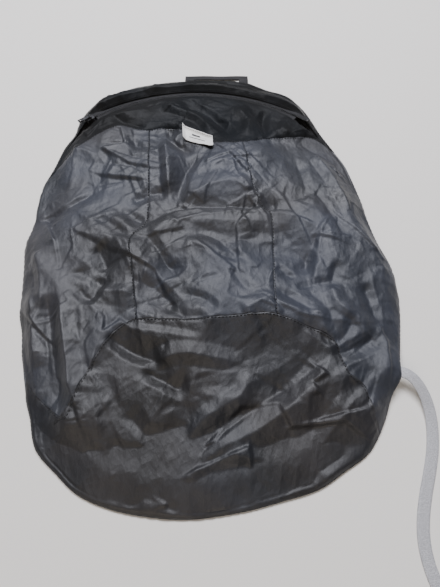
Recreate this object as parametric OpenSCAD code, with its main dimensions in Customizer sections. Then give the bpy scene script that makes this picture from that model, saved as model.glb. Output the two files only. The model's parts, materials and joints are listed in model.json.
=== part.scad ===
// Packable daypack, empty and lying flat on its back.
// X runs across the bag, Y from its base up to its haul loop, Z up from the floor.
// The origin is on the floor, under the middle of the bag.

/* [Bag] */
// Width across the widest part of the empty bag
bag_w = 374; // [350:2:400]
// Length of the empty bag from base to top edge, without the haul loop
bag_l = 503; // [480:1:525]
// Height that the slack front stands above its edge
loft = 25; // [20:1:30]
// Distance from the edge over which the front rises
rise = 40; // [34:1:48]
// Thickness of a layer of fabric as a solid
cloth = 0.8; // [0.6:0.1:1]

/* [Mouth] */
// Radius of the zip's arc
zip_r = 198; // [192:1:200]
// Height of the arc above the line on which the mouth opens
mouth_h = 50; // [46:1:50]
// Height of the opening line above the floor
mouth_z = 12.5; // [11.5:0.5:13.5]
// Fall of the mouth towards the top edge, in degrees
mouth_fall = 3; // [2:0.5:4]

/* [Zips] */
// Width of the gap in which the slider's post runs
zip_gap = 1.4; // [1.2:0.1:1.6]
// Width of each tape
tape_w = 7; // [6:0.5:7.5]
// Length of the main slider
slider_l = 9; // [8:0.5:11]
// Height of the pull's pin above the tape
pin_h = 5; // [4.8:0.1:5.2]

/* [Stow pocket] */
// Width of the inner pocket that the bag packs into
pocket_w = 150; // [130:5:150]
// Height of the inner pocket
pocket_h = 112; // [100:2:120]

/* [Straps] */
// Width of a shoulder strap
strap_w = 52; // [44:2:56]
// Thickness of a shoulder strap
strap_t = 4; // [3:0.5:4]
// Width of the adjuster webbing
webbing_w = 10; // [10:1:12]
// Thickness of the adjuster webbing
webbing_t = 1.2; // [1:0.1:1.4]

/* [Label] */
// Width of the label
label_w = 38; // [30:1:42]
// Height of the label
label_h = 21; // [18:1:22]

/* [Hidden] */

$fn = 48;
wide = bag_w / 374;
long = bag_l / 503;
gap = 0.35;
arch_gap = 0.8;
edge_z = 2.4;
mouth_rise = 0.3;
// How far each panel stops inside the outline
inset = 2;
panel_base = -257 * long;
arch_y = -97 * long;

// Outline of the flat bag, anticlockwise from the base
outline_ctrl = [
    [-14, -260], [45, -252], [100, -233], [140, -206], [157, -176], [172, -133], [184, -85],
    [187, -50], [180, 0], [168, 55], [154, 112], [138, 150], [122, 192], [104, 218], [71, 235],
    [10, 243], [-60, 242], [-110, 231], [-142, 210], [-154, 182], [-168, 131], [-182, 77],
    [-187, 0], [-181, -60], [-166, -125], [-146, -172], [-128, -210], [-97, -242], [-60, -254]
];
// Arched seam between the base and the front, from left to right
arch_ctrl = [
    [-129, -212], [-112, -186], [-98, -142], [-82, -110], [-56, -97], [0, -96], [60, -96],
    [94, -106], [120, -130], [138, -162], [154, -190]
];
seam_left = [[-63, -96], [-68, 151]];
seam_right = [[64, -96], [39, 151]];

mouth_x = -15;
mouth_y = 160;
panel_top = mouth_y - 1.5;
zip_end = acos((zip_r - mouth_h) / zip_r);
flap_end = zip_end - 4.2;
slider_rest = zip_end - 2.2;

// Where the right adjuster's webbing comes out from under the bag
exit_right = [174, -141];
lock_right = [130, -126];
lock_left = [-130, -126];
lock_turn = 45;

// ---------------------------------------------------------------- plan curves

function spline(a, b, c, d, t) =
    0.5 * (2 * b + (c - a) * t + (2 * a - 5 * b + 4 * c - d) * t * t + (3 * b - 3 * c + d - a) * t * t * t);

function closed_curve(ctrl, steps) = let (n = len(ctrl)) [
    for (i = [0:n - 1]) for (k = [0:steps - 1])
        spline(ctrl[(i + n - 1) % n], ctrl[i], ctrl[(i + 1) % n], ctrl[(i + 2) % n], k / steps)
];

function open_curve(ctrl, steps) = let (n = len(ctrl)) concat([
    for (i = [0:n - 2]) for (k = [0:steps - 1])
        spline(ctrl[max(i - 1, 0)], ctrl[i], ctrl[i + 1], ctrl[min(i + 2, n - 1)], k / steps)
], [ctrl[n - 1]]);

function scaled(points) = [for (p = points) [p.x * wide, p.y * long]];

outline = closed_curve(scaled(outline_ctrl), 3);
arch = open_curve(scaled(arch_ctrl), 3);

function to_segment(p, a, b) = let (
        ab = b - a,
        t = max(0, min(1, (p - a) * ab / (ab * ab)))
    ) norm(p - a - t * ab);

function edge_distance(p) = let (n = len(outline))
    min([for (i = [0:n - 1]) to_segment(p, outline[i], outline[(i + 1) % n])]);

// The x at which a level line crosses a curve
function crossings(curve, y, closed = true) = let (n = len(curve)) [
    for (i = [0:n - (closed ? 1 : 2)])
        let (a = curve[i], b = curve[(i + 1) % n])
        if ((a.y - y) * (b.y - y) < 0) a.x + (y - a.y) * (b.x - a.x) / (b.y - a.y)
];

function left_edge(y) = min(crossings(outline, y));
function right_edge(y) = max(crossings(outline, y));
function arch_left(y) = let (x = crossings(arch, y, false)) len(x) > 0 ? min(x) : left_edge(y);
function arch_right(y) = let (x = crossings(arch, y, false)) len(x) > 1 ? max(x) : right_edge(y);
function on_line(line, y) = let (a = scaled(line)[0], b = scaled(line)[1])
    a.x + (y - a.y) * (b.x - a.x) / (b.y - a.y);

function smooth(t) = let (u = max(0, min(1, t))) u * u * (3 - 2 * u);
function bump(p, at, radius) = exp(-pow(norm(p - at) / radius, 2));

// ------------------------------------------------------------- surface heights

// The edge lifts where the webbing comes out
exit_lift = 11;
exit_reach = 26;
function edge_height(p) = edge_z + exit_lift * bump(p, exit_right, exit_reach);

// Room for the ladderlocks under the back
room_height = 4.5;
room_reach = 28;
function lock_room(p) = room_height * (bump(p, lock_right, room_reach) + bump(p, lock_left, room_reach));

// Underside of the back panel, which rises from the edge onto the straps
back_drop = 1.2;
back_rise = 3.9;
back_reach = 30;
function back_height(p) = let (d = edge_distance(p))
    edge_height(p) - back_drop
    + (back_rise + lock_room(p)) * smooth(d / back_reach) * (1 - 0.8 * bump(p, exit_right, exit_reach));

// Underside of the front shell, which falls to the mouth
function front_height(p) = let (d = edge_distance(p))
    min(edge_height(p) + loft * (1 - exp(-d / rise)), mouth_z + mouth_rise * (mouth_y + 1 - p.y));

// --------------------------------------------------------------- solid helpers

// A sheet over a grid of points, whose rows run up Y and columns along X
module sheet(grid, thick) {
    rows = len(grid);
    cols = len(grid[0]);
    n = rows * cols;
    points = concat(
        [for (row = grid) for (p = row) p + [0, 0, thick]],
        [for (row = grid) for (p = row) p]
    );
    function at(i, j) = i * cols + j;
    top = [for (i = [0:rows - 2]) for (j = [0:cols - 2]) each [
        [at(i, j), at(i + 1, j), at(i + 1, j + 1)], [at(i, j), at(i + 1, j + 1), at(i, j + 1)]
    ]];
    rim = concat(
        [for (j = [0:cols - 1]) at(0, j)],
        [for (i = [1:rows - 1]) at(i, cols - 1)],
        [for (j = [cols - 2:-1:0]) at(rows - 1, j)],
        [for (i = [rows - 2:-1:1]) at(i, 0)]
    );
    m = len(rim);
    sides = [for (k = [0:m - 1]) let (a = rim[k], b = rim[(k + 1) % m]) each [
        [a, b, b + n], [a, b + n, a + n]
    ]];
    polyhedron(points, concat(top, [for (f = top) [f[2] + n, f[1] + n, f[0] + n]], sides));
}

// A solid through rings of the same number of points, listed anticlockwise as seen from the end
module loft_rings(rings) {
    n = len(rings[0]);
    last = len(rings) - 1;
    sides = [for (i = [0:last - 1]) for (k = [0:n - 1]) let (
            a = i * n + k,
            b = i * n + (k + 1) % n
        ) each [[a, b, b + n], [a, b + n, a + n]]];
    caps = [[for (k = [n - 1:-1:0]) k], [for (k = [0:n - 1]) last * n + k]];
    polyhedron([for (r = rings) each r], concat(sides, caps));
}

// Rows of a panel between two limits in x
function rows(y0, y1, count, low, high, cols, height) = [
    for (i = [0:count]) let (y = y0 + (y1 - y0) * i / count, a = low(y), b = high(y))
        [for (j = [0:cols]) let (p = [a + (b - a) * j / cols, y]) [p.x, p.y, height(p)]]
];

function direction(path, i) = let (
        d = path[min(i + 1, len(path) - 1)] - path[max(i - 1, 0)]
    ) d / norm(d);

// A flat band that follows a path in space and stays level across its width
function band_rings(path, width, thick) = [
    for (i = [0:len(path) - 1]) let (
            d = direction(path, i),
            across = [-d.y, d.x, 0] / norm([d.x, d.y]) * width / 2,
            up = cross(d, across / norm(across)) * thick / 2,
            round = 0.55
        ) [
        for (c = [[1, -round], [round, -1], [-round, -1], [-1, -round],
                [-1, round], [-round, 1], [round, 1], [1, round]])
            path[i] + across * (abs(c[0]) == 1 ? sign(c[0]) : sign(c[0]) * 0.94) + up * c[1]
    ]
];

module band(path, width, thick) {
    loft_rings(band_rings(path, width, thick));
}

module sector(r0, r1, a0, a1, h) {
    steps = ceil((a1 - a0) / 2);
    linear_extrude(h) polygon(concat(
        [for (k = [0:steps]) let (a = a0 + (a1 - a0) * k / steps) r1 * [sin(a), cos(a)]],
        [for (k = [steps:-1:0]) let (a = a0 + (a1 - a0) * k / steps) r0 * [sin(a), cos(a)]]
    ));
}

// ------------------------------------------------------------------- bag shell

module back_panel() {
    color("#2b2d31") sheet(rows(panel_base, 240 * long, 30,
        function(y) left_edge(y) + inset, function(y) right_edge(y) - inset, 22,
        function(p) back_height(p)), cloth);
}

module base_panel() {
    color("#36373b") sheet(rows(panel_base, arch_y - 1, 12,
        function(y) max(left_edge(y) + inset, arch_left(y) + arch_gap),
        function(y) min(right_edge(y) - inset, arch_right(y) - arch_gap), 20,
        function(p) front_height(p)), cloth);
}

module front_centre_panel() {
    color("#50535b") sheet(rows(arch_y + 2, panel_top, 16,
        function(y) on_line(seam_left, y) + gap, function(y) on_line(seam_right, y) - gap, 9,
        function(p) front_height(p)), cloth);
}

module front_left_panel() {
    color("#4d5058") sheet(rows(-204 * long, panel_top, 22,
        function(y) left_edge(y) + inset,
        function(y) y < arch_y ? max(left_edge(y) + inset + 0.4, arch_left(y) - arch_gap)
            : on_line(seam_left, y) - gap, 8,
        function(p) front_height(p)), cloth);
}

module front_right_panel() {
    color("#4d5058") sheet(rows(-184 * long, panel_top, 22,
        function(y) y < arch_y ? min(right_edge(y) - inset - 0.4, arch_right(y) + arch_gap)
            : on_line(seam_right, y) + gap,
        function(y) right_edge(y) - inset, 8,
        function(p) front_height(p)), cloth);
}

// ----------------------------------------------------------------------- mouth

module in_mouth() {
    translate([mouth_x, mouth_y, mouth_z]) rotate([-mouth_fall, 0, 0]) children();
}

module on_arc() {
    in_mouth() translate([0, mouth_h - zip_r, 0]) children();
}

function arc_point(r, a, h) = let (
        s = r * cos(a) + mouth_h - zip_r
    ) [mouth_x + r * sin(a), mouth_y + s * cos(mouth_fall) + h * sin(mouth_fall),
        mouth_z - s * sin(mouth_fall) + h * cos(mouth_fall)];

// Where a ray from the arc's centre leaves the outline
function outer_point(a) = let (
        c = [mouth_x, mouth_y + (mouth_h - zip_r) * cos(mouth_fall)],
        d = [sin(a), cos(a)],
        n = len(outline),
        hits = [for (i = [0:n - 1]) let (
                p = outline[i] - c,
                e = outline[(i + 1) % n] - outline[i],
                den = d.x * e.y - d.y * e.x,
                t = (p.x * e.y - p.y * e.x) / den,
                u = (p.x * d.y - p.y * d.x) / den
            ) if (u >= 0 && u < 1 && t > 0) t]
    ) c + (min(hits) - inset) * d;

// The gusset behind the zip rolls over from the tape to the top edge of the bag
module top_gusset_back() {
    steps = 26;
    end = zip_end + 2.8;
    color("#2f3234") sheet([
        for (i = [0:6]) [
            for (j = [0:steps]) let (
                    a = -end + 2 * end * j / steps,
                    inner = arc_point(zip_r + 4.2, max(-zip_end, min(zip_end, a)), 0.55),
                    outer = outer_point(a),
                    t = i / 6,
                    swell = 5 * sin(180 * t) * (0.4 + 0.6 * cos(a * 2))
                ) [
                    inner.x + (outer.x - inner.x) * t,
                    inner.y + (outer.y - inner.y) * t,
                    edge_z + (inner.z - edge_z) * (1 - pow(t, 3)) + swell
                ]
        ]
    ], cloth);
}

module top_gusset_front() {
    color("#2f3234") intersection() {
        on_arc() translate([0, 0, 0.55]) cylinder(r = zip_r - 4.2, h = cloth, $fn = 180);
        in_mouth() translate([-zip_r, 1.4, 0]) cube([2 * zip_r, mouth_h, 3]);
    }
}

module zip_tape_back() {
    color("#1c1d1f") on_arc() {
        sector(zip_r + zip_gap / 2, zip_r + tape_w, -zip_end, zip_end, 0.5);
        for (side = [-1, 1]) rotate(side > 0 ? 0 : zip_end + flap_end + 0.7)
            sector(zip_r - 1.6, zip_r + tape_w, zip_end - 0.7, zip_end, 0.5);
    }
}

module zip_tape_front() {
    color("#1c1d1f") intersection() {
        on_arc() sector(zip_r - tape_w, zip_r - zip_gap / 2, -flap_end, flap_end, 0.5);
        in_mouth() translate([-zip_r, 1.4, -1]) cube([2 * zip_r, mouth_h, 3]);
    }
}

module coil(side, end) {
    color("#121314") on_arc() translate([0, 0, 0.5])
        sector(side > 0 ? zip_r + zip_gap / 2 : zip_r - zip_gap / 2 - 1.7,
            side > 0 ? zip_r + zip_gap / 2 + 1.7 : zip_r - zip_gap / 2, -end, end, 1.2);
}

module zip_coil_back() {
    coil(1, zip_end - 0.75);
}

module zip_coil_front() {
    coil(-1, flap_end);
}

module zip_stops() {
    color("#3a3b3d") on_arc() for (a = [-zip_end + 0.35, zip_end - 0.35]) rotate(-a)
        translate([-0.9, zip_r + 0.2, 0.5]) cube([1.8, 3.4, 1.5]);
}

// A slider that runs along X with its post in the gap and its pin across the top
module slider(length, half_w) {
    for (z = [-1.55, 1.95]) translate([-length / 2, -half_w, z]) cube([length, 2 * half_w, 1.2]);
    translate([-length / 2, -0.3, -1]) cube([2, 0.6, 3.5]);
    for (side = [-1, 1]) translate([-length / 2, side > 0 ? half_w - 0.9 : -half_w, 0.85])
        cube([length, 0.9, 1.4]);
    for (side = [-1, 1]) translate([-1.1, side * 2.3 - 0.5, 2.8]) cube([2.2, 1, pin_h - 1.9]);
    translate([0, 2.3, pin_h]) rotate([90, 0, 0]) cylinder(d = 1.2, h = 4.6);
}

module pull(length) {
    difference() {
        union() {
            translate([0, 1.5, pin_h]) rotate([90, 0, 0]) cylinder(d = 3, h = 3);
            translate([0, -1.5, pin_h - 0.6]) cube([5, 3, 1.2]);
            translate([3.5, -2.2, pin_h - 0.6]) cube([length - 3.5, 4.4, 1.2]);
        }
        translate([0, 3, pin_h]) rotate([90, 0, 0]) cylinder(d = 1.8, h = 6);
        translate([length - 2.6, 0, pin_h - 2]) cylinder(d = 2.4, h = 4);
    }
}

module at_slider() {
    on_arc() rotate(slider_rest) translate([0, zip_r, 0]) children();
}

module zip_slider() {
    color("#26272a") at_slider() slider(slider_l, 3.6);
}

// The pull lies towards the end of the zip, clear of the mouth
module zip_pull() {
    color("#26272a") at_slider() rotate(180) pull(15);
}

// ---------------------------------------------------------------------- seams

allowance = 5;
panel_seam_top = 128;

// A bound seam allowance that hangs inside the bag under a seam
module seam_rib(path, drop) {
    rings = [for (i = [0:len(path) - 1]) let (
            d = direction(path, i),
            n = [-d.y, d.x] * 0.6,
            z = front_height(path[i]) - 0.4
        ) [
            [path[i].x + n.x, path[i].y + n.y, z], [path[i].x - n.x, path[i].y - n.y, z],
            [path[i].x - n.x, path[i].y - n.y, z - drop], [path[i].x + n.x, path[i].y + n.y, z - drop]
        ]];
    color("#232426") loft_rings([for (r = rings) [for (k = [3:-1:0]) r[k]]]);
}

function line_path(line, from, to, count) = [
    for (k = [0:count]) let (y = from + (to - from) * k / count) [on_line(line, y), y]
];

module edge_binding() {
    n = len(outline);
    function inward(d) = [for (i = [0:n - 1]) let (
            t = outline[(i + 1) % n] - outline[(i + n - 1) % n],
            m = [-t.y, t.x] / norm(t)
        ) outline[i] + m * d];
    rings = [for (i = [0:n]) let (
            a = inward(3.4)[i % n],
            b = inward(9)[i % n],
            za = back_height(a) + cloth + 0.9,
            zb = back_height(b) + cloth + 0.9
        ) [[a.x, a.y, za], [b.x, b.y, zb], [b.x, b.y, zb + 0.6], [a.x, a.y, za + 0.5]]];
    count = 4 * n;
    color("#202124") polyhedron([for (i = [0:n - 1]) each rings[i]],
        [for (i = [0:n - 1]) for (k = [0:3]) let (
                a = 4 * i + k,
                b = 4 * i + (k + 1) % 4,
                c = (a + 4) % count,
                d = (b + 4) % count
            ) each [[a, d, b], [a, c, d]]]);
}

module base_seam_binding() {
    seam_rib([for (i = [4:len(arch) - 5]) arch[i]], allowance);
}

module left_seam_binding() {
    seam_rib(line_path(seam_left, arch_y + allowance, panel_seam_top, 14), allowance);
}

module right_seam_binding() {
    seam_rib(line_path(seam_right, arch_y + allowance, panel_seam_top, 14), allowance);
}

// ---------------------------------------------------------------- stow pocket

pocket_z = edge_z + 4.6;
pocket_t = 1.6;
pocket_x = -12;
pocket_top = 118;
pocket_zip_y = pocket_top - 22;
pocket_flap = 26;
// Half the width of the pocket's two zip tapes together
stow_half = 4.15;
stow_coil = 1.5;

module in_pocket() {
    translate([pocket_x, pocket_zip_y, pocket_z + 1]) children();
}

module stow_pocket_front() {
    top = pocket_zip_y - stow_half - 0.05;
    low = top - pocket_h + pocket_flap;
    // The pocket is open upwards between its two layers
    color("#2a2c30") translate([pocket_x - pocket_w / 2, low, pocket_z]) difference() {
        cube([pocket_w, top - low, pocket_t]);
        translate([4, 4, 0.6]) cube([pocket_w - 8, top - low, 0.4]);
    }
}

module stow_pocket_flap() {
    low = pocket_zip_y + stow_half + 0.05;
    color("#2a2c30") translate([pocket_x - pocket_w / 2, low, pocket_z])
        cube([pocket_w, pocket_top - low, pocket_t]);
}

module stow_zip_tapes() {
    color("#1c1d1f") in_pocket() for (side = [-1, 1])
        translate([-pocket_w / 2 + 6, side > 0 ? zip_gap / 2 : -stow_half, 0])
        cube([pocket_w - 12, stow_half - zip_gap / 2, 0.5]);
}

module stow_zip_coils() {
    color("#121314") in_pocket() for (side = [-1, 1])
        translate([-pocket_w / 2 + 9, side > 0 ? zip_gap / 2 : -zip_gap / 2 - stow_coil, 0.5])
        cube([pocket_w - 18, stow_coil, 1.1]);
}

module stow_zip_stops() {
    color("#3a3b3d") in_pocket() for (side = [-1, 1])
        translate([side * (pocket_w / 2 - 7.5) - 0.9, zip_gap / 2, 0.5]) cube([1.8, 2.6, 1.3]);
}

module stow_slider_place() {
    in_pocket() translate([-pocket_w / 2 + 15, 0, 0]) children();
}

module stow_zip_slider() {
    color("#26272a") stow_slider_place() slider(8, 3.4);
}

module stow_zip_pull() {
    color("#26272a") stow_slider_place() pull(14);
}

// --------------------------------------------------------------------- straps

strap_ctrl = [[30, 206], [40, 165], [60, 110], [84, 50], [102, -10], [110, -60], [116, -108]];

function normal_2d(path, i) = let (d = direction(path, i)) [-d.y, d.x];

// Half width of the strap, narrower at its root and tapering to the ladderlock
function strap_half(t) = strap_w / 2
    * (0.8 + 0.2 * smooth(t / 0.25)) * (1 - 0.68 * smooth((t - 0.72) / 0.28));

function strap_outline(extra) = let (
        path = open_curve(strap_ctrl, 4),
        n = len(path) - 1
    ) concat(
        [for (i = [0:n]) path[i] - normal_2d(path, i) * (strap_half(i / n) + extra)],
        [for (i = [n:-1:0]) path[i] + normal_2d(path, i) * (strap_half(i / n) + extra)]
    );

module on_side(side) {
    if (side < 0) mirror([1, 0, 0]) children();
    else children();
}

module shoulder_strap(side) {
    color("#222326") on_side(side) linear_extrude(strap_t) polygon(strap_outline(0));
}

module strap_binding(side) {
    color("#17181a") on_side(side) translate([0, 0, 0.6]) linear_extrude(strap_t - 1.2) difference() {
        polygon(strap_outline(1.6));
        polygon(strap_outline(0.05));
        translate([0, 206]) square([100, 6], center = true);
        translate([116, -110]) square([40, 8], center = true);
    }
}

module strap_root_patch() {
    color("#202124") translate([-56, 211.5, 0.4]) cube([112, 8, 2.6]);
}

module at_lock(side) {
    on_side(side) translate([lock_right.x, lock_right.y, 0]) rotate(-90 + lock_turn) children();
}

lock_l = 17;
lock_bar = 7;
lock_w = webbing_w + 6;
lock_z = 1.7;
lock_t = 2.6;
// Start and length of each opening along the ladderlock
lock_slots = [[-lock_bar, 5], [-0.6, 1.6], [lock_bar - 4.6, 3.4]];

// The ladderlock's local X points away from the strap, along the webbing
module ladderlock(side) {
    color("#1d1e20") at_lock(side) {
        difference() {
            translate([-lock_bar, -lock_w / 2, lock_z]) cube([2 * lock_bar, lock_w, lock_t]);
            for (slot = lock_slots) translate([slot[0], -webbing_w / 2 - 0.8, lock_z - 1])
                cube([slot[1], webbing_w + 1.6, lock_t + 2]);
        }
        for (x = [-lock_bar, lock_bar]) translate([x, lock_w / 2, lock_z + lock_t / 2])
            rotate([90, 0, 0]) cylinder(d = lock_t, h = lock_w);
    }
}

// Short webbing loop that holds the ladderlock's fixed bar to the strap
module ladderlock_loop(side) {
    bar = -lock_bar;
    color("#1a1b1d") at_lock(side) {
        difference() {
            translate([bar, 0, lock_z + 1.3]) rotate([90, 0, 0]) {
                cylinder(d = lock_t + 2.6, h = webbing_w, center = true);
            }
            translate([bar, 0, lock_z + 1.3]) rotate([90, 0, 0]) {
                cylinder(d = lock_t + 0.8, h = 2 * webbing_w, center = true);
            }
            translate([bar + 0.9, -webbing_w, -1]) cube([6, 2 * webbing_w, 1.9]);
        }
        translate([bar - 14, -webbing_w / 2, lock_z + lock_t + 0.45]) cube([14, webbing_w, 0.85]);
    }
}

// Triangular anchor sewn into the lower corner of the back
module corner_tab(side) {
    color("#26272a") on_side(side) translate([0, 0, 0.1]) linear_extrude(1.1)
        polygon([[98, -222], [113, -208], [131, -183], [132, -175], [121, -171], [100, -196]]);
}

tail_path = [
    [136.5, -132.5, 3.0], [142, -137.2, 3.6], [149, -140.5, 5.4], [157, -142, 6.8], [165.5, -142.5, 9],
    [174, -144, 11.2], [181, -148, 10.8], [187, -155, 8.8], [191.5, -164, 5.8], [194, -174, 3.2],
    [194.5, -185, 1.5], [193, -197, 0.8], [189.5, -211, 0.7], [184, -226, 0.7], [178, -241, 0.7],
    [173, -256, 0.7], [170, -271, 0.7], [170, -286, 0.7], [173, -301, 0.7], [178, -315, 0.7],
    [183.5, -328, 0.7], [188, -340, 0.7]
];

module webbing_tail_right() {
    color("#9a9a9c") band(tail_path, webbing_w, webbing_t);
}

// The end of the tail, folded over and stitched
module webbing_hem_right() {
    b = tail_path[len(tail_path) - 1];
    a = tail_path[len(tail_path) - 2];
    color("#8c8c8e") translate([b.x, b.y, 0.1]) rotate(atan2(b.y - a.y, b.x - a.x)) {
        translate([-12, -webbing_w / 2, webbing_t + 0.1]) cube([12, webbing_w, webbing_t]);
        translate([0.1, -webbing_w / 2, 0]) cube([1.6, webbing_w, 2 * webbing_t + 0.1]);
        translate([-0.1, -webbing_w / 2, webbing_t + 0.1]) cube([0.4, webbing_w, webbing_t]);
    }
}

// From the corner tab to the ladderlock
webbing_path = [
    [136.8, -132.8, 0.7], [140, -137, 0.7], [141.5, -143, 0.7], [141, -149.5, 0.7], [138.5, -156, 0.7],
    [135, -162, 0.7], [131, -167.5, 0.7], [127.6, -172, 0.7]
];

module webbing_right() {
    color("#9a9a9c") band(webbing_path, webbing_w, webbing_t);
}

module webbing_left() {
    color("#9a9a9c") mirror([1, 0, 0]) band(webbing_path, webbing_w, webbing_t);
}

// The left webbing is let out, so its folded end lies against the ladderlock
module webbing_hem_left() {
    color("#8c8c8e") at_lock(-1) translate([lock_l / 2 + 0.7, -webbing_w / 2, 1.5])
        cube([9, webbing_w, 2 * webbing_t]);
}

// ------------------------------------------------------------------ haul loop

haul_x0 = -26;
haul_x1 = 44;
haul_root = 244.4;
haul_out = 257;
haul_band = 12;
haul_t = 1.6;
haul_end = 12;

module haul_loop() {
    color("#2a2c2e") difference() {
        translate([haul_x0 - haul_band / 2, haul_root + 0.3, 0.4])
            cube([haul_x1 - haul_x0 + haul_band, haul_out - haul_root - 0.3, haul_t]);
        translate([haul_x0 + haul_band / 2, haul_root - 1, -1])
            cube([haul_x1 - haul_x0 - haul_band, haul_out - haul_root - 6, 4]);
    }
}

// The ends of the loop, sewn under the top edge of the back
module haul_loop_ends() {
    color("#2a2c2e") for (x = [haul_x0, haul_x1])
        translate([x - haul_band / 2, haul_root - haul_end, 0.1]) cube([haul_band, haul_end, 0.9]);
}

module haul_loop_bartacks() {
    color("#101112") for (x = [haul_x0, haul_x1])
        translate([x - haul_band / 2 + 1, haul_root - 4.4, 1.05]) cube([haul_band - 2, 1.8, 0.6]);
}

// ---------------------------------------------------------------------- label

label_at = [-11, 141];
label_turn = -24;
label_slope = -atan(mouth_rise);

module woven_label() {
    color("#d9d8d4") translate([label_at.x, label_at.y, front_height(label_at) + cloth + 0.5])
        rotate([label_slope, 0, 0]) rotate([0, 0, label_turn])
        translate([-label_w / 2, -label_h, 0]) cube([label_w, label_h, 0.5]);
}

// ----------------------------------------------------------------------- nodes

back_panel();
base_panel();
front_centre_panel();
front_left_panel();
front_right_panel();
top_gusset_back();
top_gusset_front();
edge_binding();
base_seam_binding();
left_seam_binding();
right_seam_binding();
zip_tape_back();
zip_tape_front();
zip_coil_back();
zip_coil_front();
zip_stops();
zip_slider();
zip_pull();
stow_pocket_front();
stow_pocket_flap();
stow_zip_tapes();
stow_zip_coils();
stow_zip_slider();
stow_zip_pull();
stow_zip_stops();
shoulder_strap(-1);  // shoulder_strap_left
shoulder_strap(1);  // shoulder_strap_right
strap_binding(-1);  // strap_binding_left
strap_binding(1);  // strap_binding_right
ladderlock_loop(-1);  // ladderlock_loop_left
ladderlock_loop(1);  // ladderlock_loop_right
ladderlock(-1);  // ladderlock_left
ladderlock(1);  // ladderlock_right
corner_tab(-1);  // corner_tab_left
corner_tab(1);  // corner_tab_right
webbing_left();
webbing_right();
webbing_hem_left();
webbing_tail_right();
webbing_hem_right();
haul_loop();
haul_loop_ends();
haul_loop_bartacks();
woven_label();
strap_root_patch();
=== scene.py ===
"""Looks of a packable daypack that lies empty on its back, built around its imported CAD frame."""

import json
import math

import bpy
import numpy as np
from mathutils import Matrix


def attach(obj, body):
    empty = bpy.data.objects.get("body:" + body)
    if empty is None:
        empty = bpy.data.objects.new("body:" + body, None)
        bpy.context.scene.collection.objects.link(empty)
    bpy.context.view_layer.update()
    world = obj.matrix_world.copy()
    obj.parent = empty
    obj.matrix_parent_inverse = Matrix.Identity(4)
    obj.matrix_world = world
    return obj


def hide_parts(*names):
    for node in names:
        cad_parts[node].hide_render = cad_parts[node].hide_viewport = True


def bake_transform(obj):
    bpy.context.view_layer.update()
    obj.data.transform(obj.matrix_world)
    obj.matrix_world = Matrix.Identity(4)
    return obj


MM = 0.001
CAMERA_PLACE = (0.01355, -0.25448, 0.38428)
CAMERA_TILT = 26.73  # degrees up from straight down
LENS = 26.78
SENSOR = 36
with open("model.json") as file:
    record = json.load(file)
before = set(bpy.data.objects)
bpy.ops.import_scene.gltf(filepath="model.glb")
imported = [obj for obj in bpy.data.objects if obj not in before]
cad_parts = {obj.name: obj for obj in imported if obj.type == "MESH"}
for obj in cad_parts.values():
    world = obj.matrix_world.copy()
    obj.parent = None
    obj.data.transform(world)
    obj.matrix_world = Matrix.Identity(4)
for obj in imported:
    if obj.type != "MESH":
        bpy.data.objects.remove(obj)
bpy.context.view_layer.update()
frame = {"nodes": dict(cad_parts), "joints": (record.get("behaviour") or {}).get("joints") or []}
joints = {j["name"]: j for j in frame["joints"]}

# ------------------------------------------------------------------ stage


def add_camera():
    """The camera looks down at the bag from beyond its base."""
    data = bpy.data.cameras.new("camera")
    data.sensor_width = SENSOR
    data.lens = LENS
    camera = bpy.data.objects.new("camera", data)
    camera.location = CAMERA_PLACE
    camera.rotation_euler = (math.radians(CAMERA_TILT), 0, 0)
    bpy.context.scene.collection.objects.link(camera)
    bpy.context.scene.camera = camera


def add_area_light(name, azimuth, elevation, distance, size, power, colour):
    """A rectangular light that faces the bag. Azimuth 0 stands beyond its haul loop."""
    data = bpy.data.lights.new(name, "AREA")
    data.shape = "RECTANGLE"
    data.size, data.size_y = size
    data.energy = power
    data.color = colour
    light = bpy.data.objects.new(name, data)
    a, e = math.radians(azimuth), math.radians(elevation)
    light.location = [
        distance * math.sin(a) * math.cos(e),
        distance * math.cos(a) * math.cos(e),
        distance * math.sin(e),
    ]
    bpy.context.scene.collection.objects.link(light)
    direction = -light.location
    light.rotation_mode = "QUATERNION"
    light.rotation_quaternion = direction.to_track_quat("-Z", "Y")


def add_world():
    world = bpy.data.worlds.new("studio")
    world.use_nodes = True
    background = world.node_tree.nodes["Background"]
    background.inputs["Color"].default_value = (0.80, 0.86, 1.0, 1)
    background.inputs["Strength"].default_value = 0.12
    bpy.context.scene.world = world


def add_floor():
    bpy.ops.mesh.primitive_plane_add(size=8, location=(0, 0, 0))
    floor = bpy.context.object
    floor.name = "floor"
    material = bpy.data.materials.new("pale_floor")
    material.use_nodes = True
    shader = material.node_tree.nodes["Principled BSDF"]
    shader.inputs["Base Color"].default_value = (0.78, 0.755, 0.71, 1)
    shader.inputs["Roughness"].default_value = 0.75
    shader.inputs["Specular IOR Level"].default_value = 0.2
    floor.data.materials.append(material)


# -------------------------------------------------------------- materials

NYLON_WEAVE = 0.0007  # metres between yarns
CRINKLE_STRETCH = 0.65


def new_material(name, roughness, specular=0.5, sheen=0.0):
    material = bpy.data.materials.new(name)
    material.use_nodes = True
    tree = material.node_tree
    shader = tree.nodes["Principled BSDF"]
    shader.inputs["Roughness"].default_value = roughness
    shader.inputs["Specular IOR Level"].default_value = specular
    if sheen:
        shader.inputs["Sheen Weight"].default_value = sheen
        shader.inputs["Sheen Roughness"].default_value = 0.5
    place = tree.nodes.new("ShaderNodeTexCoord")
    return material, tree, shader, place.outputs["Object"]


def new_node(tree, kind, inputs, **settings):
    """A shader node with these settings, and with each named input set or linked."""
    node = tree.nodes.new("ShaderNode" + kind)
    for name, value in settings.items():
        setattr(node, name, value)
    for name, value in inputs.items():
        if isinstance(value, bpy.types.NodeSocket):
            tree.links.new(value, node.inputs[name])
        else:
            node.inputs[name].default_value = value
    return node


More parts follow.
